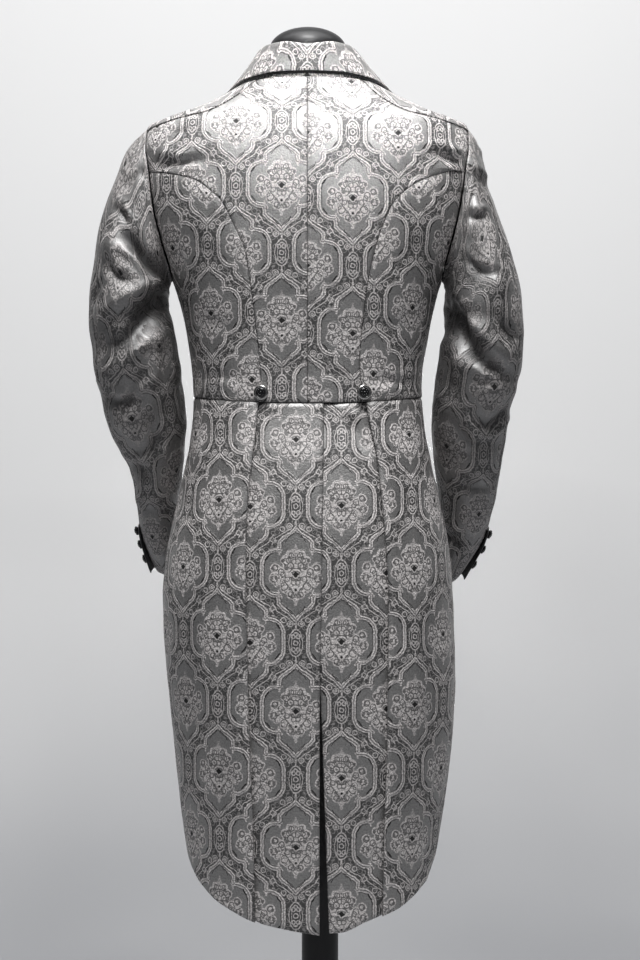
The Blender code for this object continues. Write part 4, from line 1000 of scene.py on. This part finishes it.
def buildTailBack(side, word):
    hemRise = 0.002
    pleatEdge = pleatRun(side, coat["pleatUnderlap"], hemRise)

    def ventEdge(t):
        bottom = hemHeight(side, hemCharts[side]["across"][0])
        height = bottom + (coat["waist"] - bottom) * np.atleast_1d(t)
        across = side * readSmooth(ventChart, "over" if side < 0 else "under", height)
        return stacked(turnAcross(side, across, height), height)

    def hem(s):
        turn, _ = straight(ventEdge(0.0)[0], pleatEdge(0.0)[0])(s).T
        return stacked(turn, hemHeight(side, np.sin(turn) * halfWidth(side, 0.40))
                       + hemRise * np.maximum(0.0, np.atleast_1d(s) - 0.7) / 0.3)

    def lift(s, t, spots):
        # Dips beside the pleat's edge, and on the right below the lap of the vent
        across = np.sin(spots[:, 0]) * halfWidth(side, spots[:, 1])
        dip = -0.0020 * np.exp(-((across - pleatAcross(side, spots[:, 1]) - 0.002) / 0.007)**2)
        near = np.clip(1.4 - across / 0.040, 0, 1) * (side > 0)
        return dip - coat["ventDrop"] * near * near * (3 - 2 * near)

    runs = (hem, waistRun(ventEdge(1.0)[0, 0], pleatEdge(1.0)[0, 0]), ventEdge, pleatEdge)
    # Painted shade darkens the vent and pleat edges and the waist seam, none at the hem
    bodyPanel("tail_back_" + word, side, runs, 0.11, 0.68, 9.0 + side, motifDots["tailBack"][side],
              folds=tailBackCreases[side], lift=lift, seamSize=1.8, shades=(0.9, 0.0, 0.9), held="hung",
              restsOn=["back_" + word])


def buildTailSide(side, word):
    across, cornerHeight = (column[-1] for column in hemCharts[side].values())
    corner = (float(turnAcross(side, across, cornerHeight)), cornerHeight)
    pleatEdge = pleatRun(side)
    marks = [corner] + list(zip(np.radians(tailEdge["turn"]), tailEdge["height"]))
    squeeze = np.array([0.17, 1.0])
    front = sharedOut(curveThrough(np.array(marks) * squeeze))

    def hem(s):
        turn, _ = straight(pleatEdge(0.0)[0], corner)(s).T
        height = hemHeight(side, np.sin(turn) * halfWidth(side, 0.43))
        return stacked(turn, np.where(np.atleast_1d(s) >= 1.0, cornerHeight, height))

    def lift(s, t, spots):
        pleatTurn = turnAcross(side, pleatAcross(side, spots[:, 1]), spots[:, 1])
        away = np.maximum(0.0, (spots[:, 0] - pleatTurn) * halfWidth(side, spots[:, 1]))
        near = np.maximum(0.0, 1.0 - away / coat["pleatEase"])
        return coat["pleatLift"] * near * (2 - near)

    runs = (hem, waistRun(pleatEdge(1.0)[0, 0], math.radians(tailEdge["turn"][-1])), pleatEdge,
            lambda t: front(t) / squeeze)
    # Painted shade darkens the pleat and front edges and the waist seam, none at the hem
    bodyPanel("tail_side_" + word, side, runs, 0.20, 0.64, 11.0 + side, motifDots["tailSide"][side],
              folds=tailSideCreases[side], lift=lift, seamSize=1.8, shades=(0.9, 0.0, 0.9), held="hung",
              restsOn=["side_back_" + word, "tail_back_" + word])


for side, word in sides.items():
    buildTailBack(side, word)
    buildTailSide(side, word)
print("tails")


def sleevePoint(side, angle, along):
    # angle is 0 at the sleeve's outer line and a quarter circle at its back
    table = sleeves[side]
    last = len(table["lean"]) - 1
    top = onBody(side, armhole(side, np.degrees(angle))) + np.array([side * coat["sleeveGap"], 0, 0])

    def ring(number):
        row = {name: column[np.clip(number - 1, 0, last)] for name, column in table.items()}
        outer = stacked(side * row["outerX"], row["middleY"], row["outerZ"])
        inner = stacked(side * row["innerX"], row["middleY"], row["innerZ"])
        lean = np.radians(row["lean"])
        forward = stacked(0.0, np.cos(lean), np.sin(lean)) * row["halfDepth"][:, None]
        spots = ((outer + inner) / 2 + (outer - inner) / 2 * np.cos(angle)[:, None]
                 - forward * np.sin(angle)[:, None])
        return np.where((number <= 0)[:, None], top, spots)

    return throughMarks(ring, last + 2, along)


def sleeveNormal(side, angle, along):
    return normalOf(partial(sleevePoint, side), angle, along, 0.02, 0.01) * side


# Largest folds: width and depth in millimetres, then for both ends the degrees round the sleeve from its outer
# line and the share of the way down
sleeveFolds = {
    -1: ((11, -6, 35, 0.20, 170, 0.30), (14, 4.5, 20, 0.27, 120, 0.31), (13, -8.5, 15, 0.50, 165, 0.34),
         (15, 5, 10, 0.56, 150, 0.44), (13, -5, 60, 0.68, 190, 0.58)),
    1: ((10, -5, 60, 0.10, 160, 0.12), (13, -8.5, 20, 0.48, 165, 0.37), (15, 5.5, 15, 0.55, 155, 0.47),
        (12, -4.5, 60, 0.62, 190, 0.56), (12, -4, 70, 0.78, 180, 0.72))}
# Creases of the sleeves' back, in millimetres like the body's
sleeveCreases = {
    -1: (
        (5.5, -4.5, -1.5, 252, 1328, 240, 1313, 232, 1298),
        (8.5, -10.5, 4, 236, 1291, 220, 1270, 204, 1251, 185, 1233), (15, -6, 0, 182, 1222, 196, 1184, 214, 1160),
        (9, 4.5, 0, 241, 1299, 255, 1279, 258, 1251), (9, 5.5, 0, 188, 1229, 216, 1217, 245, 1202, 270, 1173),
        (12.5, -10.5, -2.5, 187, 1218, 203, 1186, 232, 1154, 268, 1143), (15, 5, 0, 261, 1117, 251, 1104),
        (8, -5, -1.8, 272, 1080, 246, 1071, 215, 1073), (13, 3, 0, 255, 1048, 224, 1037),
        (7, -4.5, -1.5, 239, 991, 223, 985, 208, 970), (8, -3, -1, 223, 935, 188, 926),
        (6, 2.2, 0, 191, 1157, 205, 1073), (8, -2.2, 0, 205, 1061, 197, 983), (6, -2.5, -1, 210, 1418, 217, 1397),
        (6, -4.2, -1.5, 262, 1262, 252, 1240, 228, 1222), (6, -3.8, -1.6, 214, 1160, 236, 1136, 262, 1128),
        (7, -3, 0, 182, 1196, 186, 1140, 184, 1090), (6, -3, 0, 268, 1232, 282, 1196),
        (6, -3, -1.4, 198, 1118, 226, 1090, 236, 1060), (6, -3, -1.2, 186, 1030, 204, 1010, 232, 1012),
        (7, -3.5, -1.5, 206, 1372, 222, 1366, 240, 1345)),
    1: (
        (6.5, 3, 0, 210, 1325, 232, 1320), (5.5, -4.2, 1, 205, 1311, 236, 1311),
        (15, -4.5, 0, 207, 1295, 215, 1256, 220, 1212), (10, 3.5, 0, 233, 1266, 244, 1234, 252, 1202),
        (11, -10.5, -3.6, 178, 1212, 194, 1169, 215, 1136, 236, 1120, 270, 1103),
        (17, -10, 0, 176, 1208, 184, 1172, 198, 1132), (7, 3.8, 0, 189, 1210, 206, 1177, 236, 1146, 268, 1127),
        (14, 4, 0, 216, 1084, 257, 1091), (7, -4.8, 1.5, 270, 1071, 240, 1043, 216, 1055),
        (5, 2.5, 0, 200, 1067, 217, 1032, 224, 983), (6, 3, 0, 187, 975, 213, 984, 242, 972),
        (7, -3.8, 1, 194, 960, 240, 960), (5, 2.5, 0, 183, 915, 220, 883), (6, -3.2, 0, 182, 902, 207, 877),
        (6, -2.5, 1, 220, 1416, 228, 1384), (6, -4, 1.6, 196, 1262, 222, 1240, 250, 1236),
        (6, -3.4, 1.2, 248, 1180, 262, 1160, 278, 1156), (7, -3.6, 0, 176, 1190, 180, 1140, 186, 1080),
        (5.5, -3.2, 1.4, 200, 1120, 222, 1100, 262, 1098), (6, -3.4, 1.4, 188, 1046, 210, 1020, 246, 1016),
        (5, -2.4, 0, 196, 1000, 222, 1006), (7, -3.5, 1.5, 206, 1372, 222, 1366, 238, 1345))}


def sleeveDepth(side, angle, along):
    # Depth of the creases, and the places that they are counted from.
    # The hidden half gets the same creases, lower and shallower.
    spots = sleevePoint(side, angle, along)
    x, z = side * spots[:, 0], spots[:, 2]
    atBack = np.clip((np.sin(angle) + 0.30) / 0.40, 0, 1)
    creases = (creaseDepth(sleeveCreases[side], x, z) * atBack
               + creaseDepth(sleeveCreases[side], x, z + 0.034) * (1 - atBack) * 0.6)
    around, down = angle % (2 * math.pi) * coat["sleeveRadius"], along * coat["sleeveLength"]
    flat = 1000 * np.array([math.radians(1) * coat["sleeveRadius"], coat["sleeveLength"]] * 2)
    rows = [(width, depth, 0, *(flat * ends)) for width, depth, *ends in sleeveFolds[side]]
    folds = creaseDepth(rows, around, down, 0.0, 0.12)
    return 1.3 * creases * (1 - np.exp(-(down / 0.014)**2)) + 0.35 * folds, spots


def sleeveMeasure(side):
    # Mean radius and length down the sleeve, as the cloth's own metres
    alongs, angles = np.linspace(0, 1, 41), np.linspace(0, 2 * math.pi, 73)
    grid = np.array([sleevePoint(side, angles, 0 * angles + along) for along in alongs])
    radius = np.linalg.norm(np.diff(grid, axis=1), axis=-1).sum(axis=1) / (2 * math.pi)
    steps = np.linalg.norm(np.diff(grid[:, ::6], axis=0), axis=-1).mean(axis=1)
    return alongs, radius, np.concatenate([[0.0], np.cumsum(steps)])


measured = {side: sleeveMeasure(side) for side in sides}


def sleeveUv(side, angle, along, middle):
    alongs, radius, length = measured[side]
    return stacked(side * (middle - angle) * np.interp(along, alongs, radius), -np.interp(along, alongs, length))


def sleeveShift(side):
    # The cloth's place under the sleeve's motif dot, looking along the back of the sleeve
    grid = np.meshgrid(np.radians(np.arange(30, 151, 2)), np.linspace(0.3, 1, 71))
    angles, alongs = (values.ravel() for values in grid)
    spots = sleevePoint(side, angles, alongs)[:, ::2] * (side, 1)
    best = ((spots - motifDots["sleeve"][side])**2).sum(axis=1).argmin()
    return sleeveUv(side, angles[best], alongs[best], math.pi / 2)


def hindarm(along):
    return np.radians(coat["hindarmTop"] + (coat["hindarmCuff"] - coat["hindarmTop"]) * along)


cuff = {"start": 0.9, "lift": 0.0020, "flare": 0.0072}
# Painted shade on the sleeves: some all over, and most on the side turned to the body, at the height of the elbow
paintedSleeveShade = {"all": 0.44, "inner": 0.68, "turn": 10.0, "height": 1.12, "spread": 0.13}


def cuffFlare(s, t):
    # A half cuff stands off towards its outer lower corner
    return cuff["flare"] * np.clip((s - 0.55) / 0.45, 0, 1)**1.5 * (0.25 + 0.75 * t)


def sleeveCloth(node, side, under, width, height, seed, restsOn, rough=0.0008, held="hung", start=0.0, lift=0.0,
                flared=0.0, **kinds):
    forearm, turn = math.radians(coat["forearmSeam"]), 2 * math.pi
    middle = turn / 4 if under else turn * 3 / 4

    def bend(s, t):
        along = start + (1 - start) * t
        low, high = (hindarm(along), forearm) if under else (forearm, turn + hindarm(along))
        angle = low + (high - low) * s
        uv = sleeveUv(side, angle, along, middle) - sleeveShift(side)
        fromSides, fromTop = np.minimum(s, 1 - s) * width, t * height
        away = np.minimum.reduce([fromSides, fromTop, (1 - t) * height])
        creases, spots = sleeveDepth(side, angle, along)
        depth = creases + lift + cuffFlare(s, t) * flared + edgeDepth(away, *uv.T, seed + 4)
        depth += ripple(*uv.T, 0.06, seed) * rough * (1 - np.exp(-(away / 0.010)**2))
        normals = sleeveNormal(side, angle, along)
        # Painted shade at the edges, in the creases and over the sleeve, kept as the seam attribute
        seam = np.maximum.reduce([seamShade(fromSides) * 0.35, seamShade(fromTop) * 0.6, creaseShade(creases * 1.6)])
        inner = (0.5 - 0.5 * np.cos(angle - math.radians(paintedSleeveShade["turn"])))**1.5
        inner *= np.exp(-((spots[:, 2] - paintedSleeveShade["height"]) / paintedSleeveShade["spread"])**2)
        seam = 1 - (1 - seam) * (1 - paintedSleeveShade["all"]) * (1 - paintedSleeveShade["inner"] * inner)
        return spots + normals * depth[:, None], normals, uv, seam

    clothPiece(node, round(width / cloth["sleeveMesh"]), round(height / cloth["sleeveMesh"]), bend, held, restsOn,
               **kinds)


for side, word in sides.items():
    sleeveCloth("sleeve_under_" + word, side, True, 0.22, 0.60, 13.0 + side, ["side_back_" + word])
    sleeveCloth("sleeve_top_" + word, side, False, 0.24, 0.62, 15.0 + side, ["front_" + word])
    sleeveCloth("half_cuff_" + word, side, False, 0.17, 0.062, 17.0 + side, ["sleeve_top_" + word], rough=0.0002,
                held="stretched", start=cuff["start"], lift=cuff["lift"], flared=1.0, finish="velvet", wall=0.0014)
print("sleeves")


collar = {"footRise": 0.0014, "footLift": -0.0020, "edgeLift": 0.0068, "bend": 0.0040, "underLift": 0.0024,
          "underShows": 0.0034}


def collarPoint(s, t):
    # s runs round the collar and t from the stand's foot over the fold to the fall's edge
    share = 2 * s - 1
    result = np.zeros((len(s), 3))
    table = {"row": np.linspace(0, 1, len(collarChart["foldX"])), **collarChart}
    for side in sides:
        mine = (share < 0) == (side < 0)
        row = {name: readSmooth(table, name, np.abs(share[mine])) for name in collarChart}
        foot = readSmooth(neckChart, "height", row["standTurn"]) + collar["footRise"]
        low = onBody(side, stacked(np.radians(row["standTurn"]), foot), collar["footLift"])
        fall = stacked(np.radians(row["fallTurn"]), row["fallHeight"])
        edge = onBody(side, fall, collar["edgeLift"])
        fold = stacked(side * row["foldX"], row["foldY"], row["foldZ"])
        down = unit(edge - fold)
        outward = bodyNormal(side, *fall.T)
        outward = unit(outward - down * (outward * down).sum(-1, keepdims=True))
        inner, outer = (fold + (down + outward * way) * collar["bend"] for way in (-1, 1))
        marks = np.array([low, low * 0.45 + inner * 0.55, inner, fold, outer, (outer + edge) / 2, edge])
        number = np.arange(len(fold))
        result[mine] = throughMarks(lambda k: marks[k, number], len(marks), t[mine])
    return result


def collarNormal(s, t):
    return -normalOf(collarPoint, s, t, 0.004, 0.004)


collarSteps = np.linspace(0, 1, 121)
collarDown = runLength(collarPoint(0 * collarSteps + 0.5, collarSteps))
collarRound = runLength(collarPoint(collarSteps, 0 * collarSteps + 0.8))


def collarPlace(s, t):
    return stacked(np.interp(s, collarSteps, collarRound) - collarRound[-1] / 2,
                   -np.interp(t, collarSteps, collarDown))


def collarBend(s, t):
    uv, normals = collarPlace(s, t), collarNormal(s, t)
    away = np.minimum(np.minimum(s, 1 - s) * 0.46, np.minimum(t, 1 - t) * 0.088)
    depth = -0.0005 * np.exp(-(away / 0.002)**2) + ripple(*uv.T, 0.05, 2.0) * 0.0003
    return collarPoint(s, t) + normals * depth[:, None], normals, uv, 0 * s


def underCollarBend(s, t):
    # Below the fall, with its lowest edge in sight
    across, share = (1 + s * 22) / 24, (10 + t * 2) / 12
    normals = collarNormal(across, share)
    downward = unit(collarPoint(across, 0 * share + 1.0) - collarPoint(across, 0 * share + 0.96))
    shows = np.clip((t - 0.5) / 0.5, 0, 1) * collar["underShows"]
    spots = collarPoint(across, share) - normals * collar["underLift"] + downward * shows[:, None]
    return spots, normals, collarPlace(across, share) - stacked(0.0, shows), 0 * s


clothPiece("collar", 110, 34, collarBend, "folded", ["back_left", "back_right"])
clothPiece("under_collar", 96, 6, underCollarBend, "folded", ["back_left", "back_right"], "felt", 0.0010)
print("collar")


def finePiece(node, bm, finishes, sharp=40):
    mesh = meshOf(node + "_fine", bm)
    mesh.set_sharp_from_angle(angle=math.radians(sharp))
    for finish in finishes:
        mesh.materials.append(materials[finish])
    piece = addObject(mesh.name, mesh)
    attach(piece, "root")
    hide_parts(node)


def closeUp(bm):
    bmesh.ops.remove_doubles(bm, verts=bm.verts[:], dist=0.00001)
    bmesh.ops.holes_fill(bm, edges=bm.edges[:])
    bmesh.ops.recalc_face_normals(bm, faces=bm.faces[:])
    if bm.calc_volume(signed=True) < 0:
        bmesh.ops.reverse_faces(bm, faces=bm.faces[:])


def ringLoft(node, rings, finish):
    # Rings of points, joined row by row and closed at both ends
    bm = bmesh.new()
    sizes = len(rings[0]), len(rings) - 1
    bmesh.ops.create_grid(bm, x_segments=sizes[0], y_segments=sizes[1], size=0.5)
    for vert in bm.verts:
        column, row = (round((vert.co[k] + 0.5) * sizes[k]) for k in (0, 1))
        vert.co = rings[row][column % sizes[0]]
    closeUp(bm)
    finePiece(node, bm, [finish])


def spin(bm, profile, steps):
    # Returns the faces turned from a profile of radius and height
    before = set(bm.faces)
    verts = [bm.verts.new((radius, 0.0, height)) for radius, height in profile]
    edges = [bm.edges.new(pair) for pair in zip(verts, verts[1:])]
    bmesh.ops.spin(bm, geom=verts + edges, cent=(0, 0, 0), axis=(0, 0, 1), dvec=(0, 0, 0),
                   angle=2 * math.pi, steps=steps, use_merge=True)
    return set(bm.faces) - before


def turned(node, profile, middle, steps, squash=1.0):
    # A turned shape, closed at both ends
    bm = bmesh.new()
    spin(bm, profile, steps)
    closeUp(bm)
    bmesh.ops.scale(bm, vec=(1.0, squash, 1.0), verts=bm.verts[:])
    bmesh.ops.translate(bm, vec=middle, verts=bm.verts[:])
    finePiece(node, bm, ["enamel"])


# Radius and height of a button's profile, as shares of its own
buttonCup = ((0.0, 0.0), (0.66, 0.0), (0.86, 0.14), (0.98, 0.36), (1.0, 0.50), (0.97, 0.64), (0.90, 0.76),
             (0.80, 0.82), (0.70, 0.82), (0.63, 0.77), (0.60, 0.70))
buttonFace = ((0.60, 0.70), (0.59, 0.80), (0.55, 0.88), (0.42, 0.95), (0.22, 0.99), (0.0, 1.0))


def buildButton(node, seat, facing, radius, height, finish):
    # A turned button: a cup with a rounded rim, and a domed face with a wreath of beads
    bm = bmesh.new()
    for number, profile in enumerate((buttonCup, buttonFace)):
        for face in spin(bm, [(r * radius, h * height) for r, h in profile], 40):
            face.material_index = number
    bmesh.ops.remove_doubles(bm, verts=bm.verts[:], dist=0.00003)
    beads = [(math.radians(45 * number), 0.40, 0.955, 0.10) for number in range(8)] + [(0.0, 0.0, 0.99, 0.16)]
    for angle, reach, level, size in beads:
        bead = bmesh.ops.create_icosphere(bm, subdivisions=2, radius=size * radius)["verts"]
        bmesh.ops.scale(bm, vec=(1.0, 1.0, 0.55), verts=bead)
        bmesh.ops.translate(bm, verts=bead, vec=(
            math.cos(angle) * reach * radius, math.sin(angle) * reach * radius, height * level))
        for face in {face for vert in bead for face in vert.link_faces}:
            face.material_index = 1
    turn = Vector(facing).to_track_quat("Z", "Y")
    for vert in bm.verts:
        vert.co = turn @ vert.co + Vector(seat)
    finePiece(node, bm, [finish, "jet"], 50)


buttons = {"frontAcross": 0.0150, "belowClosure": 0.022, "aboveWaist": 0.0125, "cuffRise": 0.0180,
           "cuffStep": 0.0195, "fromSeam": 0.011 / 0.045, "cuffSink": 0.0008}


def buildButtons(side, word):
    foot = backSeam(side)(0.0)[0]
    across, height = buttons["frontAcross"], coat["closure"] - buttons["belowClosure"]
    for node, spot, lift in (("waist_button_", (foot[0], foot[1] + buttons["aboveWaist"]), 0.0012),
                             ("front_button_", (math.pi - float(turnAcross(side, across, height)), height), 0.0004)):
        spots = np.array([spot])
        buildButton(node + word, onBody(side, spots, lift)[0], bodyNormal(side, *spots.T)[0], 0.0098, 0.0060,
                    "silver")
    forearm = math.radians(coat["forearmSeam"])
    for number in range(3):
        along = np.array([1.0 - (buttons["cuffRise"] + buttons["cuffStep"] * number) / coat["sleeveLength"]])
        angle = hindarm(along) - buttons["fromSeam"]
        creases, spots = sleeveDepth(side, angle, along)
        normal = sleeveNormal(side, angle, along)[0]
        flare = cuffFlare((2 * math.pi + angle - forearm) / (2 * math.pi + hindarm(along) - forearm),
                          (along - cuff["start"]) / (1 - cuff["start"]))
        lift = float((creases + cuff["lift"] + flare)[0]) - buttons["cuffSink"]
        buildButton("cuff_button_" + word + "_" + str(number + 1), spots[0] + normal * lift, normal, 0.0062, 0.0055,
                    "jet")


for side, word in sides.items():
    buildButtons(side, word)
print("buttons")

form = {"lowest": 0.770, "points": 96, "neckY": -0.012, "neckWidth": 0.0505, "neckDepth": 0.052, "capFoot": 1.5353,
        "capRise": 0.0285, "clearance": 0.0024}
stand = {
    "x": 0.016, "pole": ((0.024, 0.0223), (0.024, 0.7697)),
    "base": ((0.190, 0.0), (0.190, 0.013), (0.1885, 0.0175), (0.1855, 0.0205), (0.181, 0.022)),
}


def buildForm():
    turns = 2 * math.pi * np.arange(form["points"]) / form["points"]
    rings = []
    for height in np.concatenate([np.linspace(0.80, 1.40, 31), np.linspace(1.408, 1.478, 12)]):
        gap = form["clearance"] + readSmooth(formGap, "gap", height)
        halves = (onBody(side, stacked(turns if side > 0 else 2 * math.pi - turns, height), -gap) for side in sides)
        rings.append(np.where((turns > math.pi)[:, None], *halves))
    lowest = rings[0].mean(axis=0) * 0.10 + rings[0] * 0.90
    lowest[:, 2] = form["lowest"]
    for height in np.linspace(1.488, 1.535, 10):
        halfX, halfY = (readSmooth(neckOfForm, name, height) for name in ("halfWidth", "halfDepth"))
        rings.append(stacked(halfX * np.sin(turns), form["neckY"] - halfY * np.cos(turns), height))
    ringLoft("form_torso", [lowest] + rings, "cover")


buildForm()
turned("form_neck_cap",
       [(form["neckWidth"] * math.sqrt(1 - share**2), form["capFoot"] + form["capRise"] * share)
        for share in np.sin(np.radians(np.linspace(0, 76, 12)))],
       (0, form["neckY"], 0), form["points"], form["neckDepth"] / form["neckWidth"])
turned("stand_pole", stand["pole"], (stand["x"], 0, 0), 64)
turned("stand_base", stand["base"], (0, 0, 0), 128)
print("form and stand")

studio = {"floor": (0.78, 0.78, 0.78), "paintedFloorShade": (0.30, 0.305, 0.32), "curveRadius": 0.9, "back": 2.4,
          "front": -3.9, "half": 4.0, "wall": 3.6, "world": (0.95, 0.96, 1.0, 1.0), "worldStrength": 0.06}
view = {"place": (0.016, -3.2, 0.97), "lens": 91.0, "frameHeight": 36.0}
lights = (
    # name, place, aim, width, height, watts, spread
    ("top light", (0.03, -1.15, 4.3), (0.0, 0.0, 1.25), 1.2, 1.0, 166.0, 180.0),
    ("key light", (0.03, -1.50, 2.60), (0.02, -0.11, 1.45), 1.3, 0.5, 0.40, 36.0),
    ("collar light", (0.02, -1.50, 2.05), (0.02, -0.09, 1.56), 0.3, 0.2, 0.26, 19.0),
    ("backdrop light", (0.0, 0.3, 3.1), (0.0, 2.3, 1.1), 3.0, 0.8, 33.0, 180.0),
    ("front light", (0.9, 3.2, 2.6), (0.0, 0.0, 1.2), 1.6, 1.2, 40.0, 180.0),
)


def paperMaterial():
    # Pale paper with broad soft clouds, darkened by painted shade towards the floor. Seen from behind, it lets the
    # object show.
    tree, shader, place = newMaterial("paper", studio["floor"], 0.85)
    # Painted shade: the colour runs from the shade colour low down to the pale paper higher up
    rising = Plane(tree, place).part(2) + noise(tree, place, 1.1, 2.0) * 0.5 - 0.25
    share = rising.join("MULTIPLY_ADD", 1 / 1.1, 0.12).clamped()
    behind = Field(tree, addNode(tree, "NewGeometry").outputs["Backfacing"])
    setSockets(tree, shader, {"Base Color": mixColours(tree, share, studio["paintedFloorShade"], studio["floor"]),
                              "Alpha": 1.0 - behind})


def buildBackdrop():
    radius = studio["curveRadius"]
    corner = studio["back"] - radius
    line = [(studio["front"], 0.0), (corner, 0.0)]
    line += [(corner + radius * math.sin(angle), radius * (1 - math.cos(angle)))
             for angle in np.radians(np.arange(6, 96, 6))]
    line.append((studio["back"], studio["wall"]))
    bm = bmesh.new()
    bmesh.ops.create_grid(bm, x_segments=1, y_segments=len(line) - 1, size=0.5)
    for vert in bm.verts:
        y, z = line[round((vert.co.y + 0.5) * (len(line) - 1))]
        vert.co = (vert.co.x * 2 * studio["half"], y, z - 0.0005)
    mesh = meshOf("backdrop", bm)
    paperMaterial()
    mesh.materials.append(materials["paper"])
    addObject("backdrop", mesh)


def buildLights():
    for name, spot, aim, width, height, watts, spread in lights:
        data = bpy.data.lights.new(name, "AREA")
        data.shape = "RECTANGLE"
        data.size, data.size_y, data.energy, data.spread = width, height, watts, math.radians(spread)
        lamp = addObject(name, data)
        lamp.location = spot
        lamp.rotation_mode = "QUATERNION"
        lamp.rotation_quaternion = (Vector(aim) - Vector(spot)).to_track_quat("-Z", "Y")


def buildCamera():
    data = bpy.data.cameras.new("camera")
    data.sensor_fit = "VERTICAL"
    data.sensor_height = view["frameHeight"]
    data.lens = view["lens"]
    camera = addObject("camera", data)
    camera.location = view["place"]
    camera.rotation_euler = (math.radians(90), 0, 0)
    bpy.context.scene.camera = camera


world = bpy.data.worlds.new("studio")
world.use_nodes = True
setSockets(world.node_tree, world.node_tree.nodes["Background"], {"Strength": studio["worldStrength"]})
world.node_tree.nodes["Background"].inputs["Color"].default_value = studio["world"]
bpy.context.scene.world = world
buildBackdrop()
buildLights()
buildCamera()
bpy.context.scene.view_settings.view_transform = "Standard"
print("studio")

print("cut of each sheet:", json.dumps(cuts))
